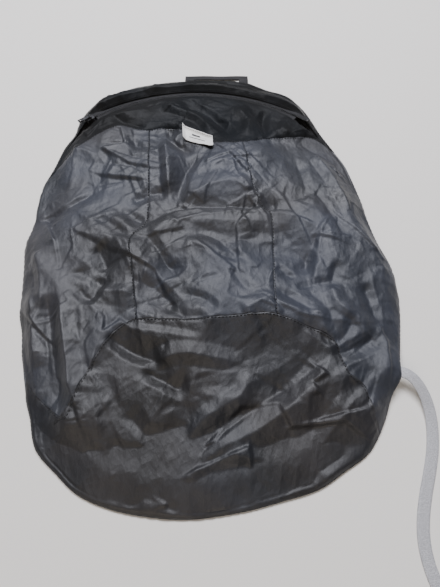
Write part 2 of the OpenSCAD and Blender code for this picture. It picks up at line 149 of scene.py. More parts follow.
def noise(tree, place, scale, detail=3.0, roughness=0.55):
    inputs = {"Vector": place, "Scale": scale, "Detail": detail, "Roughness": roughness}
    return new_node(tree, "TexNoise", inputs).outputs["Fac"]


def ramp(tree, fac, stops):
    node = tree.nodes.new("ShaderNodeValToRGB")
    while len(node.color_ramp.elements) < len(stops):
        node.color_ramp.elements.new(0.5)
    for element, (position, colour) in zip(node.color_ramp.elements, stops):
        element.position = position
        element.color = (*colour, 1)
    tree.links.new(fac, node.inputs["Fac"])
    return node.outputs["Color"]


def span(tree, fac, low, high):
    """A value that runs from low to high as fac runs from 0.3 to 0.7."""
    inputs = {"Value": fac, "From Min": 0.3, "From Max": 0.7, "To Min": low, "To Max": high}
    return new_node(tree, "MapRange", inputs).outputs["Result"]


def waves(tree, place, period, direction, turn=0.0):
    """Parallel ribs, one every period metres."""
    mapping = new_node(tree, "Mapping", {"Vector": place, "Rotation": (0, 0, turn)})
    # Blender's wave repeats every 2 pi / 20 units at scale 1
    inputs = {"Vector": mapping.outputs["Vector"], "Scale": math.pi / (10 * period)}
    return new_node(tree, "TexWave", inputs, bands_direction=direction).outputs["Fac"]


def bump(tree, shader, layers):
    """Adds bumps one on another. Each layer is (height socket, distance in metres)."""
    below = {}
    for height, distance in layers:
        node = new_node(tree, "Bump", {"Distance": distance, "Height": height, **below})
        below = {"Normal": node.outputs["Normal"]}
    tree.links.new(below["Normal"], shader.inputs["Normal"])


def crinkle(tree, place, scale, turn):
    """Small flat facets with sharp edges, as in thin coated cloth that has been packed away."""
    inputs = {"Vector": place, "Rotation": (0.3 * turn, 0.2, turn), "Scale": (1, CRINKLE_STRETCH, 1)}
    mapping = new_node(tree, "Mapping", inputs)
    inputs = {"Vector": mapping.outputs["Vector"], "Scale": scale}
    return new_node(tree, "TexVoronoi", inputs, feature="F1", distance="MANHATTAN").outputs["Distance"]


def nylon(name, dark, light, roughness, crinkles=1.0, specular=0.55):
    """Thin coated nylon: a fine plain weave, small crinkles, a soft uneven shine, and brownish and bluish
    patches of painted reflection in its colour.
    """
    material, tree, shader, place = new_material(name, roughness, specular, 0.04)
    tone = noise(tree, place, 14, 4)
    # brownish and bluish patches multiplied into the colour: painted reflections of a brown room and a blue sky
    reflection_patches = noise(tree, place, 9, 2)
    base = ramp(tree, tone, [(0.32, dark), (0.68, light)])
    painted_reflection_tint = ramp(tree, reflection_patches, [(0.42, (1.08, 0.99, 0.93)), (0.58, (0.90, 0.97, 1.12))])
    inputs = {"Factor": 1.0, "A": base, "B": painted_reflection_tint}
    mix = new_node(tree, "Mix", inputs, data_type="RGBA", blend_type="MULTIPLY")
    tree.links.new(mix.outputs["Result"], shader.inputs["Base Color"])
    shine = span(tree, noise(tree, place, 30, 3), roughness - 0.05, roughness + 0.07)
    tree.links.new(shine, shader.inputs["Roughness"])
    weave = tree.nodes.new("ShaderNodeMath")
    weave.operation = "ADD"
    for socket, direction in zip(weave.inputs, "XY"):
        tree.links.new(waves(tree, place, NYLON_WEAVE, direction), socket)
    layers = [
        (crinkle(tree, place, 48, 0.6), 0.0008 * crinkles),
        (crinkle(tree, place, 110, 2.2), 0.00042 * crinkles),
        (crinkle(tree, place, 260, 1.3), 0.00013 * crinkles),
        (weave.outputs["Value"], 0.00003),
    ]
    bump(tree, shader, layers)
    return material


def woven(name, dark, light, period, depth, roughness=0.8, turn=0.0):
    """Webbing or tape: ribs across it, one every period metres, with a fine yarn grain."""
    material, tree, shader, place = new_material(name, roughness, 0.3, 0.15)
    grain = noise(tree, place, 900, 2)
    wear = noise(tree, place, 60, 3)
    tree.links.new(ramp(tree, wear, [(0.3, dark), (0.7, light)]), shader.inputs["Base Color"])
    ribs = waves(tree, place, period, "Y", turn)
    bump(tree, shader, [(ribs, depth), (grain, 0.00008)])
    return material


def plastic(name, colour, roughness):
    """Moulded acetal or enamelled metal, with a fine grain and faint scuffs."""
    material, tree, shader, place = new_material(name, roughness, 0.5)
    wear = noise(tree, place, 180, 4)
    worn = tuple(min(1, c * 1.8 + 0.01) for c in colour)
    tree.links.new(ramp(tree, wear, [(0.45, colour), (0.75, worn)]), shader.inputs["Base Color"])
    tree.links.new(span(tree, wear, roughness - 0.06, roughness + 0.1), shader.inputs["Roughness"])
    bump(tree, shader, [(noise(tree, place, 1500, 2), 0.00003)])
    return material


# ------------------------------------------------------------- plan curves


def catmull_rom(points, steps=12):
    """A smooth curve through the points, which stay as they are."""
    p = np.array(points, float)
    first, last = 2 * p[0] - p[1], 2 * p[-1] - p[-2]
    q = np.vstack([first, p, last])
    t = np.arange(steps)[:, None] / steps
    parts = []
    for a, b, c, d in zip(q[:-3], q[1:-2], q[2:-1], q[3:]):
        bend = (2 * a - 5 * b + 4 * c - d) * t**2 + (3 * b - 3 * c + d - a) * t**3
        parts.append(0.5 * (2 * b + (c - a) * t + bend))
    return np.vstack([*parts, p[-1:]])


def along(curve):
    """Length from the start of the curve to each of its points."""
    steps = np.linalg.norm(np.diff(curve, axis=0), axis=1)
    return np.concatenate([[0], np.cumsum(steps)])


def resample(curve, count):
    """The curve as count + 1 points, evenly spaced."""
    s = along(curve)
    even = np.linspace(0, s[-1], count + 1)
    return np.stack([np.interp(even, s, curve[:, k]) for k in range(curve.shape[1])], axis=1)


def nearest_index(curve, point):
    return int(np.argmin(np.linalg.norm(curve - np.array(point), axis=1)))


# Plan of the bag in millimetres, as [x, y]. The outline's four stretches meet at the ends of the
# arched seam and of the yoke seam. Many of these points, and of those in front_folds, are copied or
# adapted from what a script measured, and not drawn by hand.
BASE_EDGE = [
    [-159, -149], [-156, -166], [-149, -183], [-144, -199], [-137, -211], [-120, -226], [-101, -241],
    [-76, -251], [-45, -257], [-10, -259], [30, -254], [60, -247], [92, -238], [116, -224],
    [136, -211], [148, -196],
]
RIGHT_EDGE = [
    [148, -196], [156, -181], [163, -163], [171, -149], [173, -134], [180, -112], [185, -89],
    [188, -60], [186, -32], [177, -3], [171, 26], [168, 50], [161, 85], [156, 104], [148, 121],
]
LEFT_EDGE = [
    [-159, -149], [-167, -128], [-172, -104], [-178, -85], [-180, -66], [-184, -35], [-188, -8],
    [-185, 12], [-184, 26], [-185, 50], [-183, 74],
]
TOP_EDGE = [
    [-183, 74], [-176, 97], [-169, 128], [-160, 150], [-157, 172], [-149, 192], [-138, 207],
    [-118, 222], [-95, 233], [-72, 239], [-45, 244], [10, 246], [45, 243], [60, 236], [80, 224],
    [103, 211], [117, 192], [125, 174], [134, 150], [148, 121],
]
ARCH = [
    [-159, -149], [-142, -167], [-129, -177], [-117, -184], [-112, -178], [-105, -155], [-88, -118],
    [-73, -102], [-56, -97], [-13, -99], [23, -97], [59, -95], [86, -103], [109, -112],
    [118, -121], [124, -146],
    [136, -157], [141, -172], [148, -196],
]
SEAM_LEFT = [
    [-62, -97], [-66, -70], [-71, -37], [-73, -13], [-62, 5], [-60, 20], [-62, 62], [-65, 104], [-69, 146],
]
SEAM_RIGHT = [[63, -96], [64, -59], [66, -14], [65, 16], [56, 30], [49, 50], [44, 73], [38, 118]]
YOKE = [
    [-183, 74], [-165, 100], [-148, 119], [-130, 137], [-105, 149], [-85, 148], [-69, 146], [-50, 152],
    [-30, 146], [-8, 126], [8, 119], [38, 118], [66, 130], [98, 136], [122, 142], [148, 121],
]

base_edge = catmull_rom(BASE_EDGE)
right_edge = catmull_rom(RIGHT_EDGE)
left_edge = catmull_rom(LEFT_EDGE)
top_edge = catmull_rom(TOP_EDGE)
arch = catmull_rom(ARCH)
seam_left = catmull_rom(SEAM_LEFT)
seam_right = catmull_rom(SEAM_RIGHT)
yoke = catmull_rom(YOKE)
outline = np.vstack([base_edge[:-1], right_edge[:-1], top_edge[::-1][:-1], left_edge[::-1][:-1]])
arch_left, arch_right = nearest_index(arch, SEAM_LEFT[0]), nearest_index(arch, SEAM_RIGHT[0])
yoke_left, yoke_right = nearest_index(yoke, SEAM_LEFT[-1]), nearest_index(yoke, SEAM_RIGHT[-1])
seam_left[0], seam_right[0] = arch[arch_left], arch[arch_right]
seam_left[-1], seam_right[-1] = yoke[yoke_left], yoke[yoke_right]

# The zip's arc, from the joint on which its slider travels
zip_centre = np.array(joints["zip_travel"]["pos_m"]) / MM
zip_normal = -np.array(joints["zip_travel"]["axis"], float)
zip_up = np.cross(zip_normal, [1, 0, 0])
ZIP_RADIUS = 198
ZIP_HALF = 41.6  # degrees from the arc's crown to the back tape's ends
FLAP_HALF = 37.4  # degrees from the crown to the flap tape's ends
CLOTH_FROM_ZIP = 4.2
FLAP_TURN = [[-158, 132], [-140, 155.5]]


def arc_points(radius, degrees, height):
    """Points on the zip's arc. Degrees run from its crown towards +X."""
    a = np.radians(np.asarray(degrees, float))[..., None]
    return zip_centre + radius * (np.sin(a) * [1, 0, 0] + np.cos(a) * zip_up) + height * zip_normal


def beside_zip(radius, half, left_turn, right_turn):
    """An edge that follows the zip and runs on to both ends of the yoke seam."""
    arc = arc_points(radius, np.linspace(-half, half, 60), 0)[:, :2]
    left = catmull_rom([YOKE[0], [-172, 104], *left_turn, arc[0], arc[4]])
    right = catmull_rom([arc[-5], arc[-1], *right_turn, [131, 141], YOKE[-1]])
    stop = nearest_index(left, arc[0])
    start = nearest_index(right, arc[-1])
    return np.vstack([left[:stop], arc, right[start + 1 :]])


# The flap's edge turns away from the slider at both ends of its travel
flap_edge = beside_zip(ZIP_RADIUS - CLOTH_FROM_ZIP, FLAP_HALF, FLAP_TURN, [[110, 155.5]])
gusset_edge = beside_zip(ZIP_RADIUS + CLOTH_FROM_ZIP, ZIP_HALF, [[-160, 134]], [])

# ---------------------------------------------------------------- heights

EDGE_Z = 1.3
EXIT = np.array([174.0, -142.0])  # where the free webbing leaves the bag
EXIT_LIFT = 11.5
ROLL_RADIUS = 4  # the rolled rim's width, then its height
ROLL_HEIGHT = 2.4
RISE = 22.5  # how far the front rises inside the rim, and over what distance
RISE_REACH = 42
MOUTH_SLOPE = 0.17  # fall of the front towards the mouth's hinge
FLAP_LIFT = 1.4  # flap's cloth over its hinge
BLEND = 2.5  # roundness of the meeting of dome and flap
CLEAR_OF_BACK = 2.2
PULL_ROOM = [(-67, 97), (60, 98)]  # over the inner zip's pull at both ends of its travel
PULL_LIFT = 6.5


def smooth(t):
    t = np.clip(t, 0, 1)
    return t * t * (3 - 2 * t)


def blur(field, sigma):
    """Gaussian blur, sigma in cells."""
    ky = np.fft.fftfreq(field.shape[0])[:, None]
    kx = np.fft.fftfreq(field.shape[1])[None]
    kernel = np.exp(-2 * (math.pi * sigma) ** 2 * (kx**2 + ky**2))
    return np.real(np.fft.ifft2(np.fft.fft2(field) * kernel))


class Relief:
    """A height map over the bag's plan, in millimetres with a cell every millimetre."""

    def __init__(self, seed):
        self.x = np.arange(-205, 206.0)
        self.y = np.arange(-275, 271.0)
        self.grid_x, self.grid_y = np.meshgrid(self.x, self.y)
        self.height = np.zeros_like(self.grid_x)
        self.random = np.random.default_rng(seed)

    def window(self, curve, reach):
        low, high = curve.min(0) - reach, curve.max(0) + reach
        i = slice(max(0, int(low[1] - self.y[0])), max(0, int(high[1] - self.y[0]) + 2))
        j = slice(max(0, int(low[0] - self.x[0])), max(0, int(high[0] - self.x[0]) + 2))
        return i, j

    def near(self, curve, where):
        """Distance to the curve, length along it and side (+1 to its left) of each cell."""
        px, py = self.grid_x[where], self.grid_y[where]
        best = np.full(px.shape, 1e9)
        place = np.zeros(px.shape)
        side = np.ones(px.shape)
        s = along(curve)
        for k, (a, b) in enumerate(zip(curve[:-1], curve[1:])):
            dx, dy = b - a
            length2 = dx * dx + dy * dy + 1e-12
            t = np.clip(((px - a[0]) * dx + (py - a[1]) * dy) / length2, 0, 1)
            ex, ey = px - a[0] - t * dx, py - a[1] - t * dy
            d = ex * ex + ey * ey
            closer = d < best
            best = np.where(closer, d, best)
            place = np.where(closer, s[k] + t * math.sqrt(length2), place)
            side = np.where(closer, np.where(dx * ey - dy * ex >= 0, 1.0, -1.0), side)
        return np.sqrt(best), place, side

    def fold(self, points, height, left, right, ends=0.3):
        """A ridge, or a valley if height is below 0, with straight sides of these two widths."""
        curve = catmull_rom(points, 5) if len(points) > 2 else np.array(points, float)
        where = self.window(curve, max(left, right))
        d, place, side = self.near(curve, where)
        wide = np.where(side > 0, left, right)
        length = along(curve)[-1]
        taper = smooth(np.minimum(place, length - place) / (ends * length) + 0.25)
        self.height[where] += height * taper * np.clip(1 - d / wide, 0, 1)

    def facets(self, size, height, turn=0.0, stretch=1.0, mask=1.0):
        """Flat facets of about this size with sharp creases between them."""
        c, s = math.cos(math.radians(turn)), math.sin(math.radians(turn))
        reach = int(360 / size) + 2
        count = 2 * reach
        u = (np.arange(count) - reach)[:, None] * np.ones(count)[None]
        v = u.T
        u = u + self.random.uniform(-0.42, 0.42, u.shape)
        v = v + self.random.uniform(-0.42, 0.42, v.shape)
        px = (c * u * stretch - s * v) * size
        py = (s * u * stretch + c * v) * size
        pz = self.random.normal(0, height, u.shape)
        flip = self.random.random(u.shape) < 0.5
        layer = np.zeros_like(self.height)
        for i in range(count - 1):
            for j in range(count - 1):
                a, b, c2, d = (i, j), (i + 1, j), (i + 1, j + 1), (i, j + 1)
                for tri in ((a, b, c2), (a, c2, d)) if flip[i, j] else ((a, b, d), (b, c2, d)):
                    self.fill(layer, [(px[k], py[k], pz[k]) for k in tri])
        self.height += layer * mask
        return layer

    def crease(self, size, height, steep, gentle, mask, turn=0.0, stretch=1.0):
        """Long sharp folds that come and go, steep on one side and gentle on the other."""
        line = self.facets(size, 1.0, turn, stretch, 0.0)  # folds run where it crosses zero
        slope = np.hypot(*np.gradient(line)) + 0.15 / size
        d = line / slope
        patches = blur(self.random.normal(0, 1, line.shape), 0.55 * size)
        strength = np.clip(patches * 2.2 * size, 0, 1.6)
        profile = np.where(d < 0, 1 + d / steep, 1 - d / gentle)
        self.height += height * strength * np.clip(profile, 0, 1) * mask

    def fill(self, layer, corners):
        """Draws one flat triangle into a layer."""
        (ax, ay, az), (bx, by, bz), (cx, cy, cz) = corners
        j0 = max(0, math.ceil(min(ax, bx, cx) - self.x[0]))
        j1 = min(len(self.x), math.floor(max(ax, bx, cx) - self.x[0]) + 1)
        i0 = max(0, math.ceil(min(ay, by, cy) - self.y[0]))
        i1 = min(len(self.y), math.floor(max(ay, by, cy) - self.y[0]) + 1)
        if i0 >= i1 or j0 >= j1:
            return
        x, y = self.x[None, j0:j1], self.y[i0:i1, None]
        area = (bx - ax) * (cy - ay) - (cx - ax) * (by - ay)
        wb = ((x - ax) * (cy - ay) - (cx - ax) * (y - ay)) / area
        wc = ((bx - ax) * (y - ay) - (x - ax) * (by - ay)) / area
        inside = (wb >= 0) & (wc >= 0) & (wb + wc <= 1)
        part = layer[i0:i1, j0:j1]
        part[inside] = (az + wb * (bz - az) + wc * (cz - az))[inside]

    def pucker(self, curve, height, spacing, reach, groove=0.9):
        """Gathers along a seam: short creases that run out from it, and the sunk stitch line."""
        where = self.window(curve, 3.2 * reach)
        d, place, side = self.near(curve, where)
        count = int(along(curve)[-1] / spacing) + 3
        layer = 0
        for sign in (-1, 1):
            knots = (np.arange(count) + self.random.uniform(-0.35, 0.35, count)) * spacing
            size = self.random.uniform(0.15, 1, count) * np.where(np.arange(count) % 2, 1, -1)
            lean = self.random.uniform(-0.5, 0.5)
            wave = np.interp(place + lean * d, knots, size)
            fade = np.interp(place, knots, self.random.uniform(0.5, 1.5, count))
            layer = layer + (side == sign) * wave * np.exp(-d / (reach * fade))
        self.height[where] += height * layer - groove * np.exp(-((d / 1.3) ** 2))

    def sample(self, x, y, field=None):
        """The height at plan points, between the cells around them."""
        field = self.height if field is None else field
        u = np.clip(np.asarray(x) - self.x[0], 0, len(self.x) - 1.001)
        v = np.clip(np.asarray(y) - self.y[0], 0, len(self.y) - 1.001)
        j, i = u.astype(int), v.astype(int)
        u, v = u - j, v - i
        return (
            field[i, j] * (1 - u) * (1 - v)
            + field[i, j + 1] * u * (1 - v)
            + field[i + 1, j] * (1 - u) * v
            + field[i + 1, j + 1] * u * v
        )


relief = Relief(11)
everywhere = (slice(None), slice(None))
closed_outline = np.vstack([outline, outline[:1]])
to_edge, _, _ = relief.near(closed_outline, everywhere)
to_arch, _, arch_side = relief.near(arch, everywhere)
to_yoke, _, yoke_side = relief.near(yoke, everywhere)
gx, gy = relief.grid_x, relief.grid_y
in_base = smooth(0.5 - arch_side * to_arch / 30)
in_top = smooth(0.5 + yoke_side * to_yoke / 16)
near_edge = smooth(to_edge / 17)


def bump_at(x, y, centre, radius):
    return np.exp(-((x - centre[0]) ** 2 + (y - centre[1]) ** 2) / radius**2)


def edge_height(x, y):
    """Height of the seam round the bag, which lifts over the webbing."""
    return EDGE_Z + EXIT_LIFT * bump_at(x, y, EXIT, 24)


def rim(d):
    """Rise of the front from its edge: a rolled rim, then a slow slope."""
    roll = ROLL_HEIGHT * np.sqrt(1 - (1 - np.clip(d / ROLL_RADIUS, 0, 1)) ** 2)
    return roll + RISE * (1 - np.exp(-d / RISE_REACH))


def front_facets():
    """The creases that packing has left in the cloth."""
    front = (1 - in_base) * (1 - in_top)
    calm = 0.25 + 0.75 * near_edge
    relief.height -= 11 * smooth((gy - 35) / 95) * smooth((gx - 30) / 45) * (1 - in_top)
    relief.height += 3 * np.exp(-(((to_edge - 20) / 14) ** 2)) * np.sin(gx / 19 + gy / 31) * (1 - in_top)
    # the base falls away just below the arched seam
    relief.height -= 6.5 * (1 - np.exp(-to_arch / 22)) * (arch_side < 0) * near_edge

    def cover(share):
        """How strongly each cell of the front, the base and the top is creased."""
        return share[0] * front + share[1] * in_base + share[2] * in_top

    # size, height, turn, stretch, share and fading towards the edge
    for size, height, turn, stretch, share, fading in (
        (50, 3.0, 20, 1.3, (1, 1.1, 0), near_edge),
        (27, 1.2, -35, 1.5, (1, 0.55, 0.9), calm),
        (14, 0.32, 55, 1.7, (1, 0.5, 1.2), calm),
        (7, 0.10, 10, 1.8, (0.9, 0.4, 0.5), 1),
    ):
        relief.facets(size, height, turn, stretch, cover(share) * fading)
    # size, height, steep side, gentle side, share, turn and stretch
    for size, height, steep, gentle, share, turn, stretch in (
        (44, 2.4, 1.8, 24, (1, 0.8, 0), 35, 1.5),
        (44, 2.0, 1.8, 20, (1, 0.8, 0), -50, 1.5),
        (26, 1.1, 1.3, 13, (1, 0.6, 1.2), 10, 1.6),
        (26, 1.0, 1.3, 12, (1, 0.6, 1.2), -75, 1.6),
        (15, 0.5, 1.0, 7, (1, 0.5, 0.5), 60, 1.7),
        (15, 0.45, 1.0, 7, (1, 0.5, 0.5), -25, 1.7),
        (9, 0.25, 0.9, 4, (1, 0.5, 0.5), 0, 1.6),
    ):
        relief.crease(size, height, steep, gentle, cover(share) * calm, turn, stretch)


def front_folds():
    """The larger folds, from the top of the front to the base. Heights and widths in mm."""
    f = relief.fold
    # valley beside the label, down to the tuck
    f([[-49, 160], [-38, 122], [-10, 102]], -7, 12, 16)
    f([[-10, 102], [-24, 72], [-31, 36], [-30, 26]], -9, 10, 22)
    f([[-56, 120], [-42, 90], [-40, 45]], 3.5, 18, 9)
    # roof-shaped fold above the tuck
    f([[-22, 36], [16, 54], [50, 46]], 4.5, 22, 14)
    f([[-5, 78], [14, 86], [34, 76]], 3.5, 14, 12)
    f([[50, 56], [60, 40], [73, 28]], -5, 12, 12)
    # tuck: a sharp step down, a light ledge and a dark slope below it
    f([[-62, 2], [-48, 14], [-26, 24], [20, 26.5], [61, 26], [85, 22], [110, 6], [120, -2]], -4, 13, 3.5)
    f([[-58, -2], [-36, 6], [0, 8], [41, 7], [60, 8], [93, 2]], 2.6, 15, 12)
    f([[-52, 150], [-47, 110], [-42, 60], [-38, 34]], 6.5, 20, 8)
    f([[118, 118], [138, 66], [150, 20]], 7, 26, 10)
    f([[-172, -20], [-160, -50], [-152, -85]], 5, 18, 7)
    f([[-178, 20], [-150, 30], [-120, 52]], -3.5, 5, 14)
    f([[-36, -4], [-19, -11], [-4, -7], [19, -15], [42, -12], [56, -5]], -3, 12, 9)
    # left panel
    f([[-112, 14], [-93, 1], [-73, -14]], -3.2, 5, 12)
    f([[-107, 22], [-88, 8], [-70, -4]], 2.6, 12, 5)
    f([[-87, 27], [-62, 6]], -3.2, 6, 12)
    f([[-109, -20], [-101, -32], [-95, -46]], -6, 16, 14)
    f([[-123, -62], [-108, -76], [-95, -54]], -5, 14, 8)
    f([[-129, -44], [-99, -59]], -3, 10, 8)
    f([[-104, -67], [-66, -73]], 4, 9, 14)
    f([[-108, 116], [-117, 72], [-116, 36]], -3, 10, 18)
    f([[-92, 132], [-72, 110]], -4, 7, 9)
    f([[-78, 36], [-61, 46], [-40, 50]], -4.5, 7, 12)
    f([[-150, -70], [-142, -105], [-129, -150], [-122, -182]], -9, 12, 20)
    f([[-138, -66], [-129, -100], [-116, -150], [-112, -176]], 5, 12, 10)
    f([[-168, -60], [-160, -100], [-150, -140]], 4, 14, 9)
    # centre panel
    f([[-63, -3], [-48, -26], [-36, -42], [-18, -45]], -5, 9, 15)
    f([[-68, -56], [-45, -68], [-24, -88]], -5, 9, 16)
    f([[-28, -70], [-2, -79], [15, -95]], -2.6, 6, 9)
    f([[-38, -84], [-16, -96], [3, -96]], -3, 7, 6)
    f([[13, -14], [38, -40]], -2.8, 5, 9)
    f([[12, -32], [28, -37]], -1.8, 5, 4)
    f([[25, -45], [33, -63], [43, -73]], -2.4, 9, 6)
    f([[32, -94], [66, -74]], 3.4, 12, 12)
    # right panel
    f([[66, -68], [82, -80], [100, -92]], -3.2, 8, 8)
    f([[68, -42], [84, -56]], -2.8, 5, 9)
    f([[84, -44], [97, -40], [110, -26]], -3, 9, 8)
    f([[85, -66], [100, -62], [117, -57]], -2.6, 7, 7)
    f([[117, -57], [122, -84], [148, -102]], 3.4, 12, 7)
    f([[128, -36], [116, -66]], -3.2, 9, 6)
    f([[119, -122], [85, -100]], -3, 6, 7)
    f([[119, -122], [112, -84]], -2.6, 8, 8)
    f([[119, -122], [138, -92]], -3, 8, 8)
    f([[150, -58], [158, -96]], -4, 8, 12)
    f([[112, 60], [128, 20], [138, -10]], -4, 16, 12)
    f([[98, 100], [104, 60], [100, 30]], -3, 10, 14)
    # base: long straight creases between large flat facets
    f([[112, -131], [89, -160], [50, -190], [8, -211], [-24, -242]], 6, 30, 16, 0.15)
    f([[112, -131], [136, -122], [158, -110]], -6, 8, 12)
    f([[112, -129], [75, -156], [51, -169], [28, -186]], -4.5, 16, 18)
    f([[34, -176], [10, -195], [-16, -214]], -5, 7, 16)
    f([[-79, -205], [-55, -210], [-37, -211]], -3.2, 7, 15)
    f([[-66, -179], [-37, -208]], -2.6, 12, 7)
    f([[18, -210], [46, -216], [70, -217]], 3.2, 10, 8)
    f([[136, -158], [104, -196], [78, -228]], 6.5, 34, 13, 0.3)
    f([[134, -156], [122, -150], [109, -182]], 3, 12, 12)
    f([[-88, -112], [-62, -128], [-34, -138]], -6.5, 20, 9)
    f([[-70, -106], [-40, -110], [-5, -118]], 2.6, 6, 20)
    f([[-54, -138], [-23, -131], [5, -133], [37, -138]], 4, 12, 9)
    f([[-54, -143], [-33, -154], [-14, -163]], -6, 18, 9)
    f([[-14, -163], [-3, -146], [35, -146]], 2.5, 9, 12)
    f([[-21, -164], [-11, -187], [-31, -197], [-37, -211]], -2.5, 12, 12)
    f([[37, -144], [32, -164], [-2, -186], [-15, -208]], 3, 12, 10)
    f([[-67, -208], [-67, -228], [-52, -250]], -2.2, 14, 14)
    f([[-86, -204], [-92, -230]], -2, 14, 12)
    f([[-100, -140], [-92, -170], [-86, -200]], 3.5, 14, 18)


def top_folds():
    """The gusset and the flap, which are pulled into a few soft folds."""
    f = relief.fold
    f([[-62, 186], [-34, 178], [-8, 160], [6, 134]], 5, 16, 9)
    f([[-40, 190], [-10, 178], [14, 156], [30, 128]], -5, 10, 12)
    f([[30, 186], [46, 160], [44, 130]], 4.5, 14, 9)
    f([[68, 180], [64, 156], [68, 132]], -5, 9, 7)
    f([[100, 170], [90, 156], [84, 140]], 3, 12, 8)
    f([[-118, 172], [-96, 158], [-72, 150]], -4, 10, 9)
    f([[-130, 160], [-104, 172], [-70, 180]], 3, 9, 12)


def make_relief():
    front_facets()
    front_folds()
    top_folds()
    relief.height = blur(relief.height, 0.4)
    relief.pucker(arch, 1.0, 6.5, 7, 0.4)
    for seam in (seam_left, seam_right):
        relief.pucker(seam, 1.0, 6.5, 8, 0.5)
    relief.pucker(yoke, 0.7, 7.5, 7, 0.4)
    relief.height += PULL_LIFT * sum(bump_at(gx, gy, place, 16) for place in PULL_ROOM)
    relief.height = blur(relief.height, 0.4)


make_relief()
HINGE_Y = joints["mouth_open"]["pos_m"][1] / MM
MOUTH_Z = joints["mouth_open"]["pos_m"][2] / MM
MOUTH_FALL = zip_up[2] / zip_up[1]


def front_height(x, y):
    """Height of the front, its flap and the strip behind the zip."""
    d = relief.sample(x, y, to_edge)
    dome = edge_height(x, y) + rim(d) * (1 - 0.0021 * np.clip(-95 - y, 0, 200))
    rough = relief.sample(x, y) * smooth(d / 6 + 0.1)
    # The front falls to the mouth, and the flap goes on from there at the zip's slope
    fall = np.where(y < HINGE_Y, MOUTH_SLOPE * (HINGE_Y - y), MOUTH_FALL * (y - HINGE_Y))
    flap = MOUTH_Z + FLAP_LIFT + fall
    low = -BLEND * np.log(np.exp(-dome / BLEND) + np.exp(-flap / BLEND))
    calm = smooth((to_zip(x, y) + 1) / 10)
    height = low + rough * (0.15 + 0.85 * calm) + crest(x, y) * smooth(d / 14)
    edge = edge_height(x, y)
    return np.maximum(height, edge + (back_smooth(x, y) - edge + CLEAR_OF_BACK) * smooth(d / 6))


def crest(x, y):
    """The strip behind the zip stands up in a soft roll and falls away in pleats."""
    r, angle = zip_polar(x, y)
    out = r - ZIP_RADIUS - CLOTH_FROM_ZIP
    span = smooth((ZIP_HALF + 4 - np.abs(angle)) / 14)
    roll = 7.5 * np.clip(out / 7, 0, 1) * np.clip(1 - (out - 7) / 24, 0, 1)
    pleat = 2.2 * np.clip(1 - np.abs(out - 17 - 5 * np.sin(angle / 11)) / 6, 0, 1)
    return np.where(out > 0, span * (roll * (0.8 + 0.2 * np.sin(angle / 5 + 1)) + pleat), 0)


def zip_polar(x, y):
    """Distance from the arc's centre and degrees from its crown, in plan."""
    dx, dy = x - zip_centre[0], (y - zip_centre[1]) / zip_up[1]
    return np.hypot(dx, dy), np.degrees(np.arctan2(dx, dy))


def to_zip(x, y):
    """Distance from the zip's line in plan, for points near its span."""
    r, angle = zip_polar(x, y)
    off = np.abs(r - ZIP_RADIUS) - CLOTH_FROM_ZIP
    return np.where(np.abs(angle) < ZIP_HALF + 2, np.maximum(off, 0), 30)


# ----------------------------------------------------------------- meshes


def grid_faces(rows, cols, around=False):
    i, j = np.meshgrid(np.arange(rows - 1), np.arange(cols if around else cols - 1), indexing="ij")
    a = i * cols + j
    b = i * cols + (j + 1) % cols
    return np.stack([a, b, b + cols, a + cols], axis=-1).reshape(-1, 4)


def new_piece(name, points, faces, material):
    """A mesh from points in millimetres."""
    mesh = bpy.data.meshes.new(name)
    if isinstance(faces, np.ndarray):
        mesh.vertices.add(len(points))
        mesh.vertices.foreach_set("co", (np.asarray(points, np.float32) * MM).ravel())
        mesh.loops.add(faces.size)
        mesh.loops.foreach_set("vertex_index", faces.astype(np.int32).ravel())
        mesh.polygons.add(len(faces))
        starts = np.arange(len(faces), dtype=np.int32) * faces.shape[1]
        mesh.polygons.foreach_set("loop_start", starts)
        mesh.update(calc_edges=True)
    else:
        mesh.from_pydata((np.asarray(points) * MM).tolist(), [], faces)
    mesh.validate()
    mesh.shade_smooth()
    mesh.materials.append(material)
    piece = bpy.data.objects.new(name, mesh)
    bpy.context.scene.collection.objects.link(piece)
    return piece


def cloth_piece(name, grid, material, thickness=0.25):
    """A sheet of cloth through a grid of points, with a back face a little below it."""
    rows, cols, _ = grid.shape
    faces = grid_faces(rows, cols)
    normal = np.cross(np.gradient(grid, axis=1), np.gradient(grid, axis=0))
    normal /= np.linalg.norm(normal, axis=2, keepdims=True) + 1e-9
    under = grid - thickness * normal
    points = np.concatenate([grid.reshape(-1, 3), under.reshape(-1, 3)])
    n = rows * cols
    right = np.arange(1, rows) * cols + cols - 1
    top = (rows - 1) * cols + np.arange(cols - 2, -1, -1)
    left = np.arange(rows - 2, 0, -1) * cols
    rim_loop = np.concatenate([np.arange(cols), right, top, left])
    following = np.roll(rim_loop, -1)
    sides = np.stack([rim_loop, rim_loop + n, following + n, following], axis=1)
    return new_piece(name, points, np.vstack([faces, faces[:, ::-1] + n, sides]), material)


def between(low, high, rows, cols):
    """Plan points between two curves that share both ends."""
    a, b = resample(low, cols), resample(high, cols)
    t = np.linspace(0, 1, rows + 1)[:, None, None]
    return a[None] * (1 - t) + b[None] * t


def patch(low, high, left, right, rows, cols):
    """Plan points inside four curves: low and high run along +X, left and right upwards."""
    a, b = resample(low, cols), resample(high, cols)
    c, d = resample(left, rows), resample(right, rows)
    s = np.linspace(0, 1, cols + 1)[None, :, None]
    t = np.linspace(0, 1, rows + 1)[:, None, None]
    ruled = (1 - t) * a[None] + t * b[None] + (1 - s) * c[:, None] + s * d[:, None]
    corners = (1 - t) * ((1 - s) * a[0] + s * a[-1]) + t * ((1 - s) * b[0] + s * b[-1])
    return ruled - corners


def on_front(plan):
    return np.dstack([plan, front_height(plan[..., 0], plan[..., 1])])


